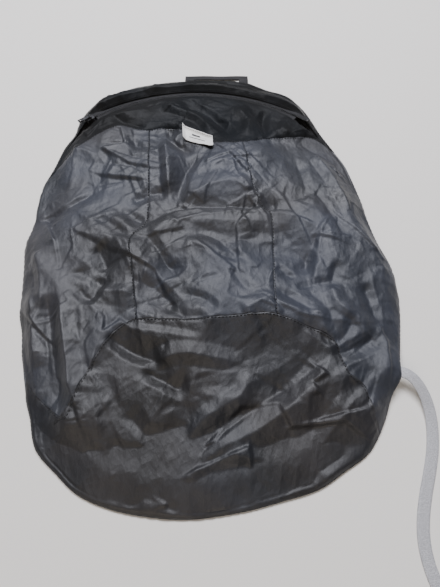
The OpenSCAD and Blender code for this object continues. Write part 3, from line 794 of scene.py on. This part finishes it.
shell = nylon("shell_nylon", (0.009, 0.010, 0.012), (0.024, 0.0260, 0.033), 0.54, 1.0, 0.60)
# the base's nylon is the shell's cloth painted darker: painted shade, since the base slopes towards the camera
# and away from the light
shaded_base_cloth = nylon("base_nylon", (0.006, 0.006, 0.0065), (0.017, 0.0165, 0.018), 0.49, 0.9, 0.5)
gusset_cloth = nylon("gusset_nylon", (0.004, 0.0045, 0.005), (0.010, 0.011, 0.012), 0.46, 0.7, 0.10)
ROWS = 230


def add_front():
    low, high = arch_left, arch_right
    centre = patch(arch[low : high + 1], yoke[yoke_left : yoke_right + 1], seam_left, seam_right, ROWS, 118)
    left = patch(arch[: low + 1], yoke[: yoke_left + 1], left_edge, seam_left, ROWS, 124)
    right = patch(arch[high:], yoke[yoke_right:], seam_right, right_edge, ROWS, 124)
    base = between(base_edge, arch, 130, 300)
    for name, plan, material, slot in (
        ("front_centre", centre, shell, "shell_nylon"),
        ("front_left", left, shell, "shell_nylon"),
        ("front_right", right, shell, "shell_nylon"),
        ("base", base, shaded_base_cloth, "base_nylon"),
    ):
        piece = cloth_piece(name + "_cloth", on_front(plan), material)
        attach(piece, "bag")
        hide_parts(name + "_panel")


def add_gusset():
    plan = between(yoke, flap_edge, 64, 320)
    flap = cloth_piece("mouth_flap_cloth", on_front(plan), gusset_cloth)
    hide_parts("top_gusset_front")
    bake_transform(flap)
    plan = between(gusset_edge, top_edge, 42, 320)
    back = cloth_piece("top_gusset_cloth", on_front(plan), gusset_cloth)
    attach(back, "bag")
    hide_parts("top_gusset_back")


# ------------------------------------------------------------ free webbing

TAIL_PATH = [
    [136.5, -132.5, 3.0], [142, -137.2, 3.6], [149, -140.5, 5.4], [157, -142, 6.8], [165.5, -142.5, 9],
    [174, -144, 11.2], [181, -148, 10.8], [187, -155, 8.8], [191.5, -164, 5.8], [194, -174, 3.2],
    [194.5, -185, 1.5], [193, -197, 0.8], [189.5, -211, 0.7], [184, -226, 0.7], [178, -241, 0.7],
    [173, -256, 0.7], [170, -271, 0.7], [170, -286, 0.7], [173, -301, 0.7], [178, -315, 0.7],
    [183.5, -328, 0.7], [188, -340, 0.7],
]
WEBBING_W = 10
WEBBING_T = 1.2


RIB_PITCH = 1.3
RIB_STEPS = 5


def tape_points(path, width, thick, rib):
    """Rings round a flat tape along a path, level across, with ribs on both faces."""
    fine = catmull_rom(path)
    line = resample(fine, int(along(fine)[-1] / RIB_PITCH) * RIB_STEPS)
    d = np.gradient(line, axis=0)
    d /= np.linalg.norm(d, axis=1, keepdims=True)
    across = np.cross([0, 0, 1], d)
    across /= np.linalg.norm(across, axis=1, keepdims=True)
    up = np.cross(d, across)
    swell = rib * np.abs(np.sin(np.arange(len(line)) * math.pi / RIB_STEPS))
    ring = [[-0.5, 0], [-0.46, -0.42], [-0.3, -0.5], [0, -0.5], [0.3, -0.5], [0.46, -0.42],
            [0.5, 0], [0.46, 0.42], [0.3, 0.5], [0, 0.5], [-0.3, 0.5], [-0.46, 0.42]]
    rings = []
    for a, b in ring:
        if b:
            rings.append(line + across * a * width + up * (b * (thick - 2 * rib) + np.sign(b) * swell)[:, None])
        else:
            rings.append(line + across * a * (width - 0.2 + 0.4 * swell / rib)[:, None])
    return np.stack(rings, axis=1)


def tape(name, path, width, thick, material, rib):
    return rings_piece(name, tape_points(path, width, thick, rib), material)


def grey_webbing():
    material, tree, shader, place = new_material("grey_webbing", 0.75, 0.3, 0.2)
    yarn = noise(tree, place, 1400, 2)
    greys = [(0.35, (0.30, 0.30, 0.315)), (0.65, (0.50, 0.50, 0.52))]
    tree.links.new(ramp(tree, yarn, greys), shader.inputs["Base Color"])
    bump(tree, shader, [(yarn, 0.00018)])
    return material


webbing_cloth = grey_webbing()


def add_tail():
    tail = tape("webbing_tail", TAIL_PATH, WEBBING_W, WEBBING_T, webbing_cloth, rib=0.13)
    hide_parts("webbing_tail_right")
    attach(tail, "bag")
    end, before = np.array(TAIL_PATH[-1]), np.array(TAIL_PATH[-2])
    d = (end - before) / np.linalg.norm(end - before)
    fold = [end - 12 * d + [0, 0, 1.45], end - 6 * d + [0, 0, 1.4], end - 0.6 * d + [0, 0, 1.35],
            end + 0.7 * d + [0, 0, 0.95], end + 0.9 * d + [0, 0, 0.45]]
    hem = tape("webbing_tail_hem", fold, WEBBING_W - 0.3, 1.1, webbing_cloth, rib=0.1)
    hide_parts("webbing_hem_right")
    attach(hem, "bag")


# ------------------------------------------------------- sweeps and stitches


def unit(v):
    return v / (np.linalg.norm(v, axis=-1, keepdims=True) + 1e-12)


def frames_along(line, across=None):
    """Across and up directions along a line. Without across, tapes lie level."""
    d = unit(np.gradient(line, axis=0))
    if across is None:
        across = unit(np.cross([0, 0, 1.0], d))
    else:
        across = unit(np.broadcast_to(across, line.shape) * 1.0)
    return across, unit(np.cross(d, across))


def sweep(name, line, profile, material, across=None, closed=False):
    """Sweeps a closed profile of (across, up) points in mm along a line."""
    line = np.asarray(line, float)
    side, up = frames_along(line, across)
    if closed:
        d = unit(np.roll(line, -1, 0) - np.roll(line, 1, 0))
        side = unit(np.cross([0, 0, 1.0], d))
        up = unit(np.cross(d, side))
    profile = np.asarray(profile, float)
    rings = line[:, None] + side[:, None] * profile[None, :, :1] + up[:, None] * profile[None, :, 1:]
    return rings_piece(name, rings, material, closed)


def rings_piece(name, rings, material, closed=False):
    """A closed surface through rings of points."""
    rows, cols, _ = rings.shape
    faces = [list(f) for f in grid_faces(rows, cols, around=True).tolist()]
    if closed:
        last = (rows - 1) * cols
        faces += [[last + k, last + (k + 1) % cols, (k + 1) % cols, k] for k in range(cols)]
    else:
        faces += [list(range(cols))[::-1], [(rows - 1) * cols + k for k in range(cols)]]
    return new_piece(name, rings.reshape(-1, 3), faces, material)


def flat_profile(width, thick):
    """A flat tape's section with rounded edges."""
    w, t = width / 2, thick / 2
    r = min(t, w) * 0.9
    near, far = 0.3 * r, r
    return [(-w, 0), (-w + near, -0.8 * t), (-w + far, -t), (0, -t), (w - far, -t), (w - near, -0.8 * t),
            (w, 0), (w - near, 0.8 * t), (w - far, t), (0, t), (-w + far, t), (-w + near, 0.8 * t)]


def scatter(name, points, faces, origins, axes, material):
    """Copies of one small mesh in a single piece, each with its three directions as rows of axes."""
    copies = origins[:, None] + np.einsum("pk,nkc->npc", np.asarray(points, float), axes)
    count = len(points)
    offset = (np.arange(len(origins)) * count)[:, None, None]
    faces = (np.asarray(faces)[None] + offset).reshape(-1, 4)
    return new_piece(name, copies.reshape(-1, 3), faces, material)


def bar_mesh(stations):
    """A six-sided bar along X. Each station is (x, y, z, radius across, radius up)."""
    a = np.arange(6) * 2 * math.pi / 6
    rings = [[[x, y + ra * math.cos(t), z + ru * math.sin(t)] for t in a] for x, y, z, ra, ru in stations]
    last = (len(stations) - 1) * 6
    start = np.array([[5, 2, 1, 0], [5, 4, 3, 2]])
    end = last + np.array([[0, 1, 2, 5], [2, 3, 4, 5]])
    faces = np.vstack([grid_faces(len(stations), 6, around=True), start, end])
    return np.array(rings).reshape(-1, 3), faces


def stitches(name, line, body, spacing=3.0, length=2.0, width=0.42, lift=0.1):
    """Thread along a seam, a small rounded bar for each stitch. A lift below 0 is for undersides."""
    line = np.asarray(line, float)
    s = along(line)
    at = (np.arange(max(1, int(s[-1] / spacing))) + 0.5) * spacing
    centre = np.stack([np.interp(at, s, line[:, k]) for k in range(3)], 1)
    after = np.stack([np.interp(at + 0.4 * length, s, line[:, k]) for k in range(3)], 1)
    d = unit(after - centre)
    side = unit(np.cross([0, 0, 1.0], d))
    up = unit(np.cross(d, side))
    r, h = width / 2, length / 2
    into = lift - 0.3 if lift > 0 else lift + 0.3
    points, faces = bar_mesh([(-h, 0, into, 0.4 * r, 0.4 * r), (-0.6 * h, 0, lift, r, r),
                              (0.6 * h, 0, lift, r, r), (h, 0, into, 0.4 * r, 0.4 * r)])
    piece = scatter(name, points, faces, centre, np.stack([d, side, up], 1), thread)
    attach(piece, body)
    return piece


def stand_for(piece, body, slot, *nodes):
    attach(piece, body)
    if nodes:
        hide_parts(*nodes)
    return piece


# ------------------------------------------------------------ more materials


def air_mesh():
    """Knitted spacer mesh: rows of small round holes, with painted shade in them."""
    material, tree, shader, place = new_material("strap_mesh", 0.8, 0.25, 0.2)
    inputs = {"Vector": place, "Scale": 420, "Randomness": 0.15}
    cells = new_node(tree, "TexVoronoi", inputs, feature="F1")
    # the holes are painted near black: painted shade inside them
    holes = [(0.25, (0.006, 0.006, 0.007)), (0.45, (0.030, 0.030, 0.033))]
    tree.links.new(ramp(tree, cells.outputs["Distance"], holes), shader.inputs["Base Color"])
    bump(tree, shader, [(cells.outputs["Distance"], 0.0006), (noise(tree, place, 60, 3), 0.0006)])
    return material


thread = woven("thread", (0.006, 0.006, 0.007), (0.014, 0.014, 0.016), 0.0006, 0.00005)
binding_tape = woven("binding_tape", (0.010, 0.010, 0.011), (0.020, 0.020, 0.022), 0.0011, 0.0001)
zip_tape = woven("zip_tape", (0.008, 0.008, 0.009), (0.017, 0.017, 0.019), 0.0008, 0.00008, turn=0.5)
black_webbing = woven("black_webbing", (0.009, 0.009, 0.010), (0.020, 0.020, 0.022), 0.0012, 0.00015)
haul_webbing = woven("haul_webbing", (0.010, 0.010, 0.011), (0.024, 0.023, 0.024), 0.0010, 0.00012)
label_cloth = woven("label_cloth", (0.62, 0.61, 0.59), (0.76, 0.75, 0.72), 0.0006, 0.00006, 0.6)
label_mark = woven("label_mark", (0.016, 0.016, 0.018), (0.030, 0.030, 0.033), 0.0006, 0.00006, 0.6)
zip_coil = plastic("zip_coil", (0.012, 0.012, 0.013), 0.36)
zip_metal = plastic("zip_metal", (0.020, 0.020, 0.022), 0.30)
hardware = plastic("hardware_plastic", (0.014, 0.014, 0.015), 0.42)
back_cloth = nylon("back_nylon", (0.016, 0.017, 0.020), (0.030, 0.031, 0.036), 0.46)
pocket_cloth = nylon("pocket_nylon", (0.018, 0.019, 0.022), (0.032, 0.034, 0.040), 0.44)


def paint_frame():
    """The CAD nodes that stay in view get their own materials."""
    looks = {"zip": zip_metal, "stow_zip": zip_metal, "ladderlock": hardware}
    for name, node in frame["nodes"].items():
        for start, material in looks.items():
            if name.startswith(start):
                for place in node.material_slots:
                    place.material = material


# ----------------------------------------------------------------- back


ROOM = [np.array([130.0, -126.0]), np.array([-130.0, -126.0])]


def back_smooth(x, y):
    d = relief.sample(x, y, to_edge)
    room = sum(4.5 * bump_at(x, y, c, 28) for c in ROOM)
    lift = (3.9 + room) * smooth(d / 30) * (1 - 0.8 * bump_at(x, y, EXIT, 26))
    return edge_height(x, y) + lift


back_relief = Relief(23)
back_relief.facets(40, 0.5, 15, 1.3)
back_relief.facets(17, 0.35, -40, 1.5)
back_relief.crease(34, 0.9, 2.5, 14, 1.0, 50, 1.5)
back_relief.crease(20, 0.6, 2.0, 9, 1.0, -20, 1.6)
back_relief.height = np.clip(blur(back_relief.height, 0.6), 0, 1.6)


def back_height(x, y):
    d = relief.sample(x, y, to_edge)
    return back_smooth(x, y) + back_relief.sample(x, y) * smooth(d / 20)


def add_back():
    plan = patch(base_edge, top_edge, left_edge, right_edge, 190, 150)
    grid = np.dstack([plan, back_height(plan[..., 0], plan[..., 1])])
    stand_for(cloth_piece("back_cloth", grid, back_cloth), "bag", "back_nylon", "back_panel")
    edge = resample(closed_outline, 400)[:-1]
    inward = unit(np.roll(edge, -1, 0) - np.roll(edge, 1, 0)) @ np.array([[0, 1], [-1, 0]])
    line = edge + 6.0 * inward
    line = np.column_stack([line, back_height(line[:, 0], line[:, 1]) + 1.1])
    ring = sweep("edge_binding_tape", line, flat_profile(5.4, 0.55), binding_tape, closed=True)
    stand_for(ring, "bag", "binding_tape", "edge_binding")


def seam_tape(name, plan, node):
    """A bound seam allowance that hangs inside the bag under its seam."""
    line = resample(plan, 120)
    z = front_height(line[:, 0], line[:, 1])
    z = np.minimum(z, np.convolve(np.pad(z, 4, mode="edge"), np.ones(9) / 9, "valid")) - 1.95
    z = np.maximum(z, back_height(line[:, 0], line[:, 1]) + 2.0)
    piece = sweep(name, np.column_stack([line, z]), flat_profile(1.1, 3.2), binding_tape)
    stand_for(piece, "bag", "binding_tape", node)


def add_seams():
    seam_tape("base_seam_tape", arch[44:-50], "base_seam_binding")
    seam_tape("left_seam_tape", seam_left[6:-6], "left_seam_binding")
    seam_tape("right_seam_tape", seam_right[6:-6], "right_seam_binding")
    lines = {"left_seam": (seam_left, 0.9), "right_seam": (seam_right, -0.9), "arch": (arch[20:-14], -1.0),
             "yoke_seam": (yoke[14:-10], -0.9)}
    for name, (plan, offset) in lines.items():
        plan = resample(plan, int(along(plan)[-1] / 0.75))
        d = unit(np.gradient(plan, axis=0))
        plan = plan + offset * np.column_stack([-d[:, 1], d[:, 0]])
        line = np.column_stack([plan, front_height(plan[:, 0], plan[:, 1]) + 0.12])
        stitches(name + "_stitches", line, "bag", 3.3, 2.2, 0.75)


# ----------------------------------------------------------------- zips


def arc_line(radius, start, stop, height, step=1.0):
    count = max(2, int(math.radians(stop - start) * radius / step))
    return arc_points(radius, np.linspace(start, stop, count), height)


TOOTH = [(2.45, 0, 0.55, 0.18, 0.2), (2.2, 0, 0.95, 0.36, 0.34), (1.1, 0, 1.1, 0.36, 0.4),
         (0.35, 0, 1.05, 0.5, 0.42), (0.0, 0, 0.95, 0.42, 0.36), (-0.25, 0, 0.85, 0.18, 0.2)]


def teeth(name, origins, along_dirs, side_dirs, up, body, node):
    """A zip coil's turns on one side of the zip: bars across the tape with a bulge at the middle."""
    points, faces = bar_mesh(TOOTH)
    axes = np.stack([side_dirs, along_dirs, np.broadcast_to(up, side_dirs.shape)], 1)
    stand_for(scatter(name, points, faces, origins, axes, zip_coil), body, "zip_coil", node)


def add_zip():
    for side, half, body, ends in ((-1, FLAP_HALF, "mouth_flap", "front"), (1, ZIP_HALF, "bag", "back")):
        line = arc_line(ZIP_RADIUS + side * 4.0, -half, half, 0.35)
        piece = sweep("zip_tape_" + ends + "_cloth", line, flat_profile(6.4, 0.5), zip_tape)
        stand_for(piece, body, "zip_tape", "zip_tape_" + ends)
        pitch = math.degrees(1.5 / ZIP_RADIUS)
        degrees = np.arange(-half + 1.2, half - 1.2, pitch) + (pitch / 2 if side > 0 else 0)
        a = np.radians(degrees)[:, None]
        radial = np.sin(a) * [1, 0, 0] + np.cos(a) * zip_up
        tangent = np.cos(a) * [1, 0, 0] - np.sin(a) * zip_up
        teeth("zip_coil_" + ends + "_teeth", arc_points(ZIP_RADIUS, degrees, 0), tangent * side, radial * side,
              zip_normal, body, "zip_coil_" + ends)
        seam = arc_line(ZIP_RADIUS + side * 6.4, -half + 1, half - 1, 1.0)
        z = front_height(seam[:, 0], seam[:, 1])
        seam[:, 2] = np.maximum(seam[:, 2], z + 0.1)
        stitches("zip_stitches_" + ends, seam, body, 2.8, 2.0, 0.42)


STOW = {"low": 5.8, "top": 91.8, "zip": 96.0, "flap": 100.2, "end": 118.0}
STOW_X = (-87.0, 63.0)


def add_pocket():
    """The inner pocket that the bag packs into, on the back inside."""
    x0, x1 = STOW_X

    def wrinkle(x, y):
        return np.clip(back_relief.sample(x * 0.9 + 30, y - 40), 0, 1.6)

    for name, node, y0, y1, rows, z, rough in (
        ("stow_pocket_cloth", "stow_pocket_front", STOW["low"], STOW["top"] + 0.6, 70, 7.6, 0.55),
        ("stow_flap_cloth", "stow_pocket_flap", STOW["flap"] - 0.6, STOW["end"], 18, 7.9, 0.3),
    ):
        x, y = np.meshgrid(np.linspace(x0, x1, 120), np.linspace(y0, y1, rows))
        sheet = cloth_piece(name, np.dstack([x, y, z + rough * wrinkle(x, y)]), pocket_cloth)
        stand_for(sheet, "bag", "pocket_nylon", node)
    side_x, low = (x0 + 2, x1 - 2), STOW["low"] + 2
    edge = np.array([[side_x[0], STOW["top"]], [side_x[0], low], [side_x[1], low], [side_x[1], STOW["top"]]])
    runs = [resample(edge[k : k + 2], 90)[: -1 if k < 2 else None] for k in range(3)]
    fine = np.vstack(runs)
    height = 7.75 + 0.55 * wrinkle(fine[:, 0], fine[:, 1])
    stitches("stow_pocket_stitches", np.column_stack([fine, height]), "bag", 3.0, 2.0)
    for side, name in ((-1, "low"), (1, "high")):
        line = np.array([[x, STOW["zip"] + side * 2.45, 8.25] for x in np.linspace(x0 + 6, x1 - 6, 70)])
        piece = sweep(f"stow_zip_tape_{name}", line, flat_profile(3.4, 0.5), zip_tape)
        stand_for(piece, "bag", "zip_tape", "stow_zip_tapes")
        x = np.arange(x0 + 9.6, x1 - 9.6, 1.4) + (0.7 if side > 0 else 0)
        origins = np.column_stack([x, np.full(len(x), STOW["zip"]), np.full(len(x), 8.0)])
        along_x = np.tile([float(side), 0, 0], (len(x), 1))
        along_y = np.tile([0, float(side), 0], (len(x), 1))
        teeth(f"stow_teeth_{name}", origins, along_x, along_y, [0, 0, 1.0], "bag", "stow_zip_coils")


# ---------------------------------------------------------------- straps

STRAP_PATH = [[30, 206], [40, 165], [60, 110], [84, 50], [102, -10], [110, -60], [116, -108]]


def strap_half(t):
    return 26 * (0.8 + 0.2 * smooth(t / 0.25)) * (1 - 0.68 * smooth((t - 0.72) / 0.28))


def add_strap(side):
    name = "left" if side < 0 else "right"
    line = resample(catmull_rom(STRAP_PATH), 220) * [side, 1]
    t = np.linspace(0, 1, len(line))
    d = unit(np.gradient(line, axis=0))
    across = np.column_stack([-d[:, 1], d[:, 0]])
    half = strap_half(t) - 0.9
    u = np.concatenate([np.linspace(-1, 1, 19), np.linspace(1, -1, 19)[1:-1]])
    top = np.arange(len(u)) < 19
    crown = 1 - np.abs(u) ** 5
    ripple = 0.18 * np.sin(t * 70 + 2 * np.sin(t * 23))[:, None] * (1 - np.abs(u))[None]
    z = np.where(top, 2.4 + 1.45 * crown, 1.4 - 1.2 * crown)[None] + ripple * np.where(top, 1, 0.5)[None]
    z = np.maximum(z, 0.06)
    plan = line[:, None] + across[:, None] * (half[:, None] * u[None])[..., None]
    piece = rings_piece(f"strap_{name}_pad", np.dstack([plan, z])[::-side], strap_mesh)
    stand_for(piece, "bag", "strap_mesh", f"shoulder_strap_{name}")
    outer = np.vstack([line - across * half[:, None], (line + across * half[:, None])[::-1]])[2:-2]
    rim_line = np.column_stack([outer, np.full(len(outer), 2.0)])
    tape_ring = [(-1.3, -1.15), (-0.2, -1.5), (0.9, -1.1), (1.3, 0), (0.9, 1.1), (-0.2, 1.5), (-1.3, 1.15)]
    tape_ring = [(-side * a, b) for a, b in tape_ring][::-side]
    binding = sweep(f"strap_{name}_tape", rim_line, tape_ring, binding_tape)
    stand_for(binding, "bag", "binding_tape", f"strap_binding_{name}")
    for k, sign in (("inner", -1), ("outer", 1)):
        run = line[4:-4] + across[4:-4] * (sign * (half[4:-4] - 2.2))[:, None]
        under = np.column_stack([run, np.full(len(run), 0.55)])
        stitches(f"strap_{name}_{k}_stitches", under, "bag", 3.0, 2.1, 0.45, lift=-0.25)


def add_root_patch():
    line = np.array([[x, 215.5, 2.0 + 0.12 * math.sin(x / 6)] for x in np.linspace(-56, 56, 90)])
    piece = sweep("strap_root_tape", line, flat_profile(8, 1.5), black_webbing)
    stand_for(piece, "bag", "black_webbing", "strap_root_patch")
    for name, y in (("low", 212.6), ("high", 218.4)):
        run = np.column_stack([line[2:-2, 0], np.full(len(line) - 4, y), line[2:-2, 2] - 0.85])
        stitches(f"strap_root_{name}_stitches", run, "bag", 3.0, 2.1, lift=-0.02)


def lock_point(side, x, y, z):
    """From a ladderlock's own axes, with X along the webbing, to the bag's."""
    c = math.sqrt(0.5)
    return [side * (130 + c * x + c * y), -126 - c * x + c * y, z]


def add_lock_loop(side):
    name = "left" if side < 0 else "right"
    ring = [(-7 + 2.15 * math.cos(a), 3.0 + 2.15 * math.sin(a)) for a in np.radians(np.arange(80, -171, -12.5))]
    upper = [(-21, 5.25), (-15, 5.25), (-9.5, 5.25)]
    path = upper + ring + [(-9.6, 3.6), (-12, 4.15), (-16, 4.4), (-20.5, 4.4)]
    line = np.array([lock_point(side, x, 0, z) for x, z in path])
    line = catmull_rom(line, 3)
    across = unit(np.array([side * 1.0, 1.0, 0.0]))
    loop = sweep(f"ladderlock_loop_{name}_webbing", line, flat_profile(10, 0.7), black_webbing, across=across)
    stand_for(loop, "bag", "black_webbing", f"ladderlock_loop_{name}")


TAB = [[98, -222], [113, -208], [131, -183], [132, -175], [121, -171], [100, -196]]
# how far in from the edge, as a share of the way to the middle, and the height there
TAB_LAYERS = [(0.0, 0.62), (0.006, 0.9), (0.02, 1.12), (0.06, 1.16), (0.3, 1.1), (0.6, 1.14), (0.9, 1.1),
              (0.995, 1.12)]


def add_corner_tab(side):
    name = "left" if side < 0 else "right"
    corner = np.array(TAB, float) * [side, 1]
    loop = resample(np.vstack([corner, corner[:1]]), 96)[:-1]
    centre = loop.mean(0)
    rings = []
    for inset, z in TAB_LAYERS:
        plan = loop + (centre - loop) * inset
        rings.append(np.column_stack([plan, np.full(len(plan), z)]))
    top = np.array(rings)
    below = top[::-1].copy()
    below[..., 2] = 1.24 - below[..., 2]
    full = np.concatenate([below[:-1], top])
    if side < 0:
        full = full[:, ::-1]
    piece = rings_piece(f"corner_tab_{name}_cloth", full, pocket_cloth)
    stand_for(piece, "bag", "black_webbing", f"corner_tab_{name}")
    run = np.vstack([loop, loop[:1]])
    run = run + (centre - run) * 0.12
    line = np.column_stack([run, np.full(len(run), 0.30)])
    stitches(f"corner_tab_{name}_stitches", line, "bag", 2.8, 1.9, lift=-0.02)


WEBBING_PATH = [[136.8, -132.8], [140, -137], [141.5, -143], [141, -149.5], [138.5, -156], [135, -162],
                [131, -167.5], [127.6, -172]]


def add_webbings():
    for side, name in ((1, "right"), (-1, "left")):
        path = [[side * x, y, 0.7] for x, y in WEBBING_PATH]
        piece = tape(f"webbing_{name}_tape", path, WEBBING_W, WEBBING_T, webbing_cloth, rib=0.13)
        stand_for(piece, "bag", "grey_webbing", f"webbing_{name}")
    path = [(9.4, 2.1), (12, 2.1), (15, 2.1), (17.4, 2.15), (18.1, 2.7), (17.4, 3.25), (15, 3.3),
            (11.5, 3.3)]
    fold = [lock_point(-1, x, 0, z) for x, z in path]
    hem = tape("webbing_left_hem", fold, WEBBING_W - 0.3, 1.0, webbing_cloth, rib=0.1)
    stand_for(hem, "bag", "grey_webbing", "webbing_hem_left")


# ------------------------------------------------------- haul loop and label


def add_haul_loop():
    """Flat webbing mitred at two corners, sewn in at the top edge."""
    outer = np.array([[-32, 232.6], [-32, 244], [-31.6, 256.7], [49.6, 256.7], [50, 244], [50, 232.6]])
    inner = np.array([[-20, 232.6], [-20, 244], [-20, 249.8], [38, 249.8], [38, 244], [38, 232.6]])
    steps = [9, 12, 60, 12, 9]

    def fill_in(corners):
        runs = zip(corners[:-1], corners[1:], steps)
        return np.vstack([np.linspace(p, q, n, endpoint=False) for p, q, n in runs] + [corners[-1:]])

    a, b = fill_in(outer), fill_in(inner)
    y = (a[:, 1] + b[:, 1]) / 2
    level = 0.75 + 0.75 * smooth((y - 243) / 6) + 0.25 * np.sin(np.arange(len(a)) / 5) * smooth((y - 246) / 5)
    across = np.array([0, 0.02, 0.08, 0.25, 0.5, 0.75, 0.92, 0.98, 1.0])
    bulge = np.array([0, 0.3, 0.45, 0.42, 0.40, 0.42, 0.45, 0.3, 0])
    top = np.stack([np.column_stack([a + (b - a) * f, level + h]) for f, h in zip(across, bulge)], 1)
    low = np.stack([np.column_stack([a + (b - a) * f, level - h]) for f, h in zip(across, bulge)], 1)
    low = low[:, 1:-1][:, ::-1]
    loop = rings_piece("haul_loop_webbing", np.concatenate([top, low], 1)[::-1], haul_webbing)
    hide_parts("haul_loop", "haul_loop_ends")
    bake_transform(loop)
    places = [(x, y) for x in (-26, 44) for y in (240.0, 241.0)]
    for k, (x, y) in enumerate(places):
        row = np.array([[x - 5, y, 1.25], [x + 5, y, 1.25]])
        piece = stitches(f"haul_bartack_{k}", row, "bag", 1.0, 0.9, 0.5)
        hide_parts("haul_loop_bartacks")


# top left, top right, bottom right, bottom left
LABEL_CORNERS = np.array([(-30, 149), (5, 127), (6.5, 106), (-28, 125)], float)
# the bar and the line, as shares of the label's width and height
LABEL_MARKS = ((0.30, 0.58, 0.26, 0.44), (0.22, 0.74, 0.60, 0.67))


def add_label():
    """A woven label sewn in at the yoke seam, with a plain bar and a thin line on it."""
    rows, cols = 31, 53
    u, v = np.meshgrid(np.linspace(0, 1, cols), np.linspace(0, 1, rows))
    tl, tr, br, bl = LABEL_CORNERS
    w = v[..., None]
    plan = (1 - w) * (tl + (tr - tl) * u[..., None]) + w * (bl + (br - bl) * u[..., None])
    # the free corner is rounded by wear
    corner_in = smooth((u - 0.86) / 0.14) * smooth((v - 0.8) / 0.2)
    plan = plan + corner_in[..., None] * np.array([-1.2, 1.4])
    under = front_height(plan[..., 0], plan[..., 1])
    high = under.copy()
    for dy in (-2, -1, 0, 1, 2):
        for dx in (-2, -1, 0, 1, 2):
            high = np.maximum(high, np.roll(np.roll(under, dy, 0), dx, 1))
    kernel = np.ones(7) / 7
    for axis in (0, 1):
        high = np.apply_along_axis(
            lambda row: np.convolve(np.pad(row, 3, mode="edge"), kernel, "valid"), axis, high
        )
    curl = 1.6 * v**1.5 + 1.8 * smooth((u - 0.45) / 0.55) * v - 0.7 * np.sin(u * 5.0) * v
    z = np.maximum(high, under) + 0.5 + curl
    piece = cloth_piece("label_cloth", np.dstack([plan, z])[:, ::-1], label_cloth, 0.45)
    piece.data.materials.append(label_mark)
    stand_for(piece, "bag", "label_cloth", "woven_label")
    face_u = (1 - (np.arange(cols - 1) + 0.5) / (cols - 1))[None]
    face_v = ((np.arange(rows - 1) + 0.5) / (rows - 1))[:, None]
    mark = np.zeros((rows - 1, cols - 1), bool)
    for u0, u1, v0, v1 in LABEL_MARKS:
        mark |= (face_u > u0) & (face_u < u1) & (face_v > v0) & (face_v < v1)
    for index in np.flatnonzero(mark.ravel()):
        piece.data.polygons[int(index)].material_index = 1
    edge = np.column_stack([plan[2, 1:-1], z[2, 1:-1] + 0.1])
    stitches("label_stitches", edge, "bag", 2.4, 1.8, 0.4)


strap_mesh = air_mesh()
add_camera()
add_world()
add_floor()
add_area_light("sky_window", -6, 60, 1.7, (1.45, 0.75), 58, (0.92, 0.93, 1.0))
add_area_light("room_fill", 190, 38, 1.9, (1.4, 0.9), 12, (1.0, 0.87, 0.72))
add_tail()
add_front()
add_gusset()
add_back()
add_seams()
add_zip()
add_pocket()
for side in (-1, 1):
    add_strap(side)
    add_lock_loop(side)
    add_corner_tab(side)
add_root_patch()
add_webbings()
add_haul_loop()
add_label()
paint_frame()
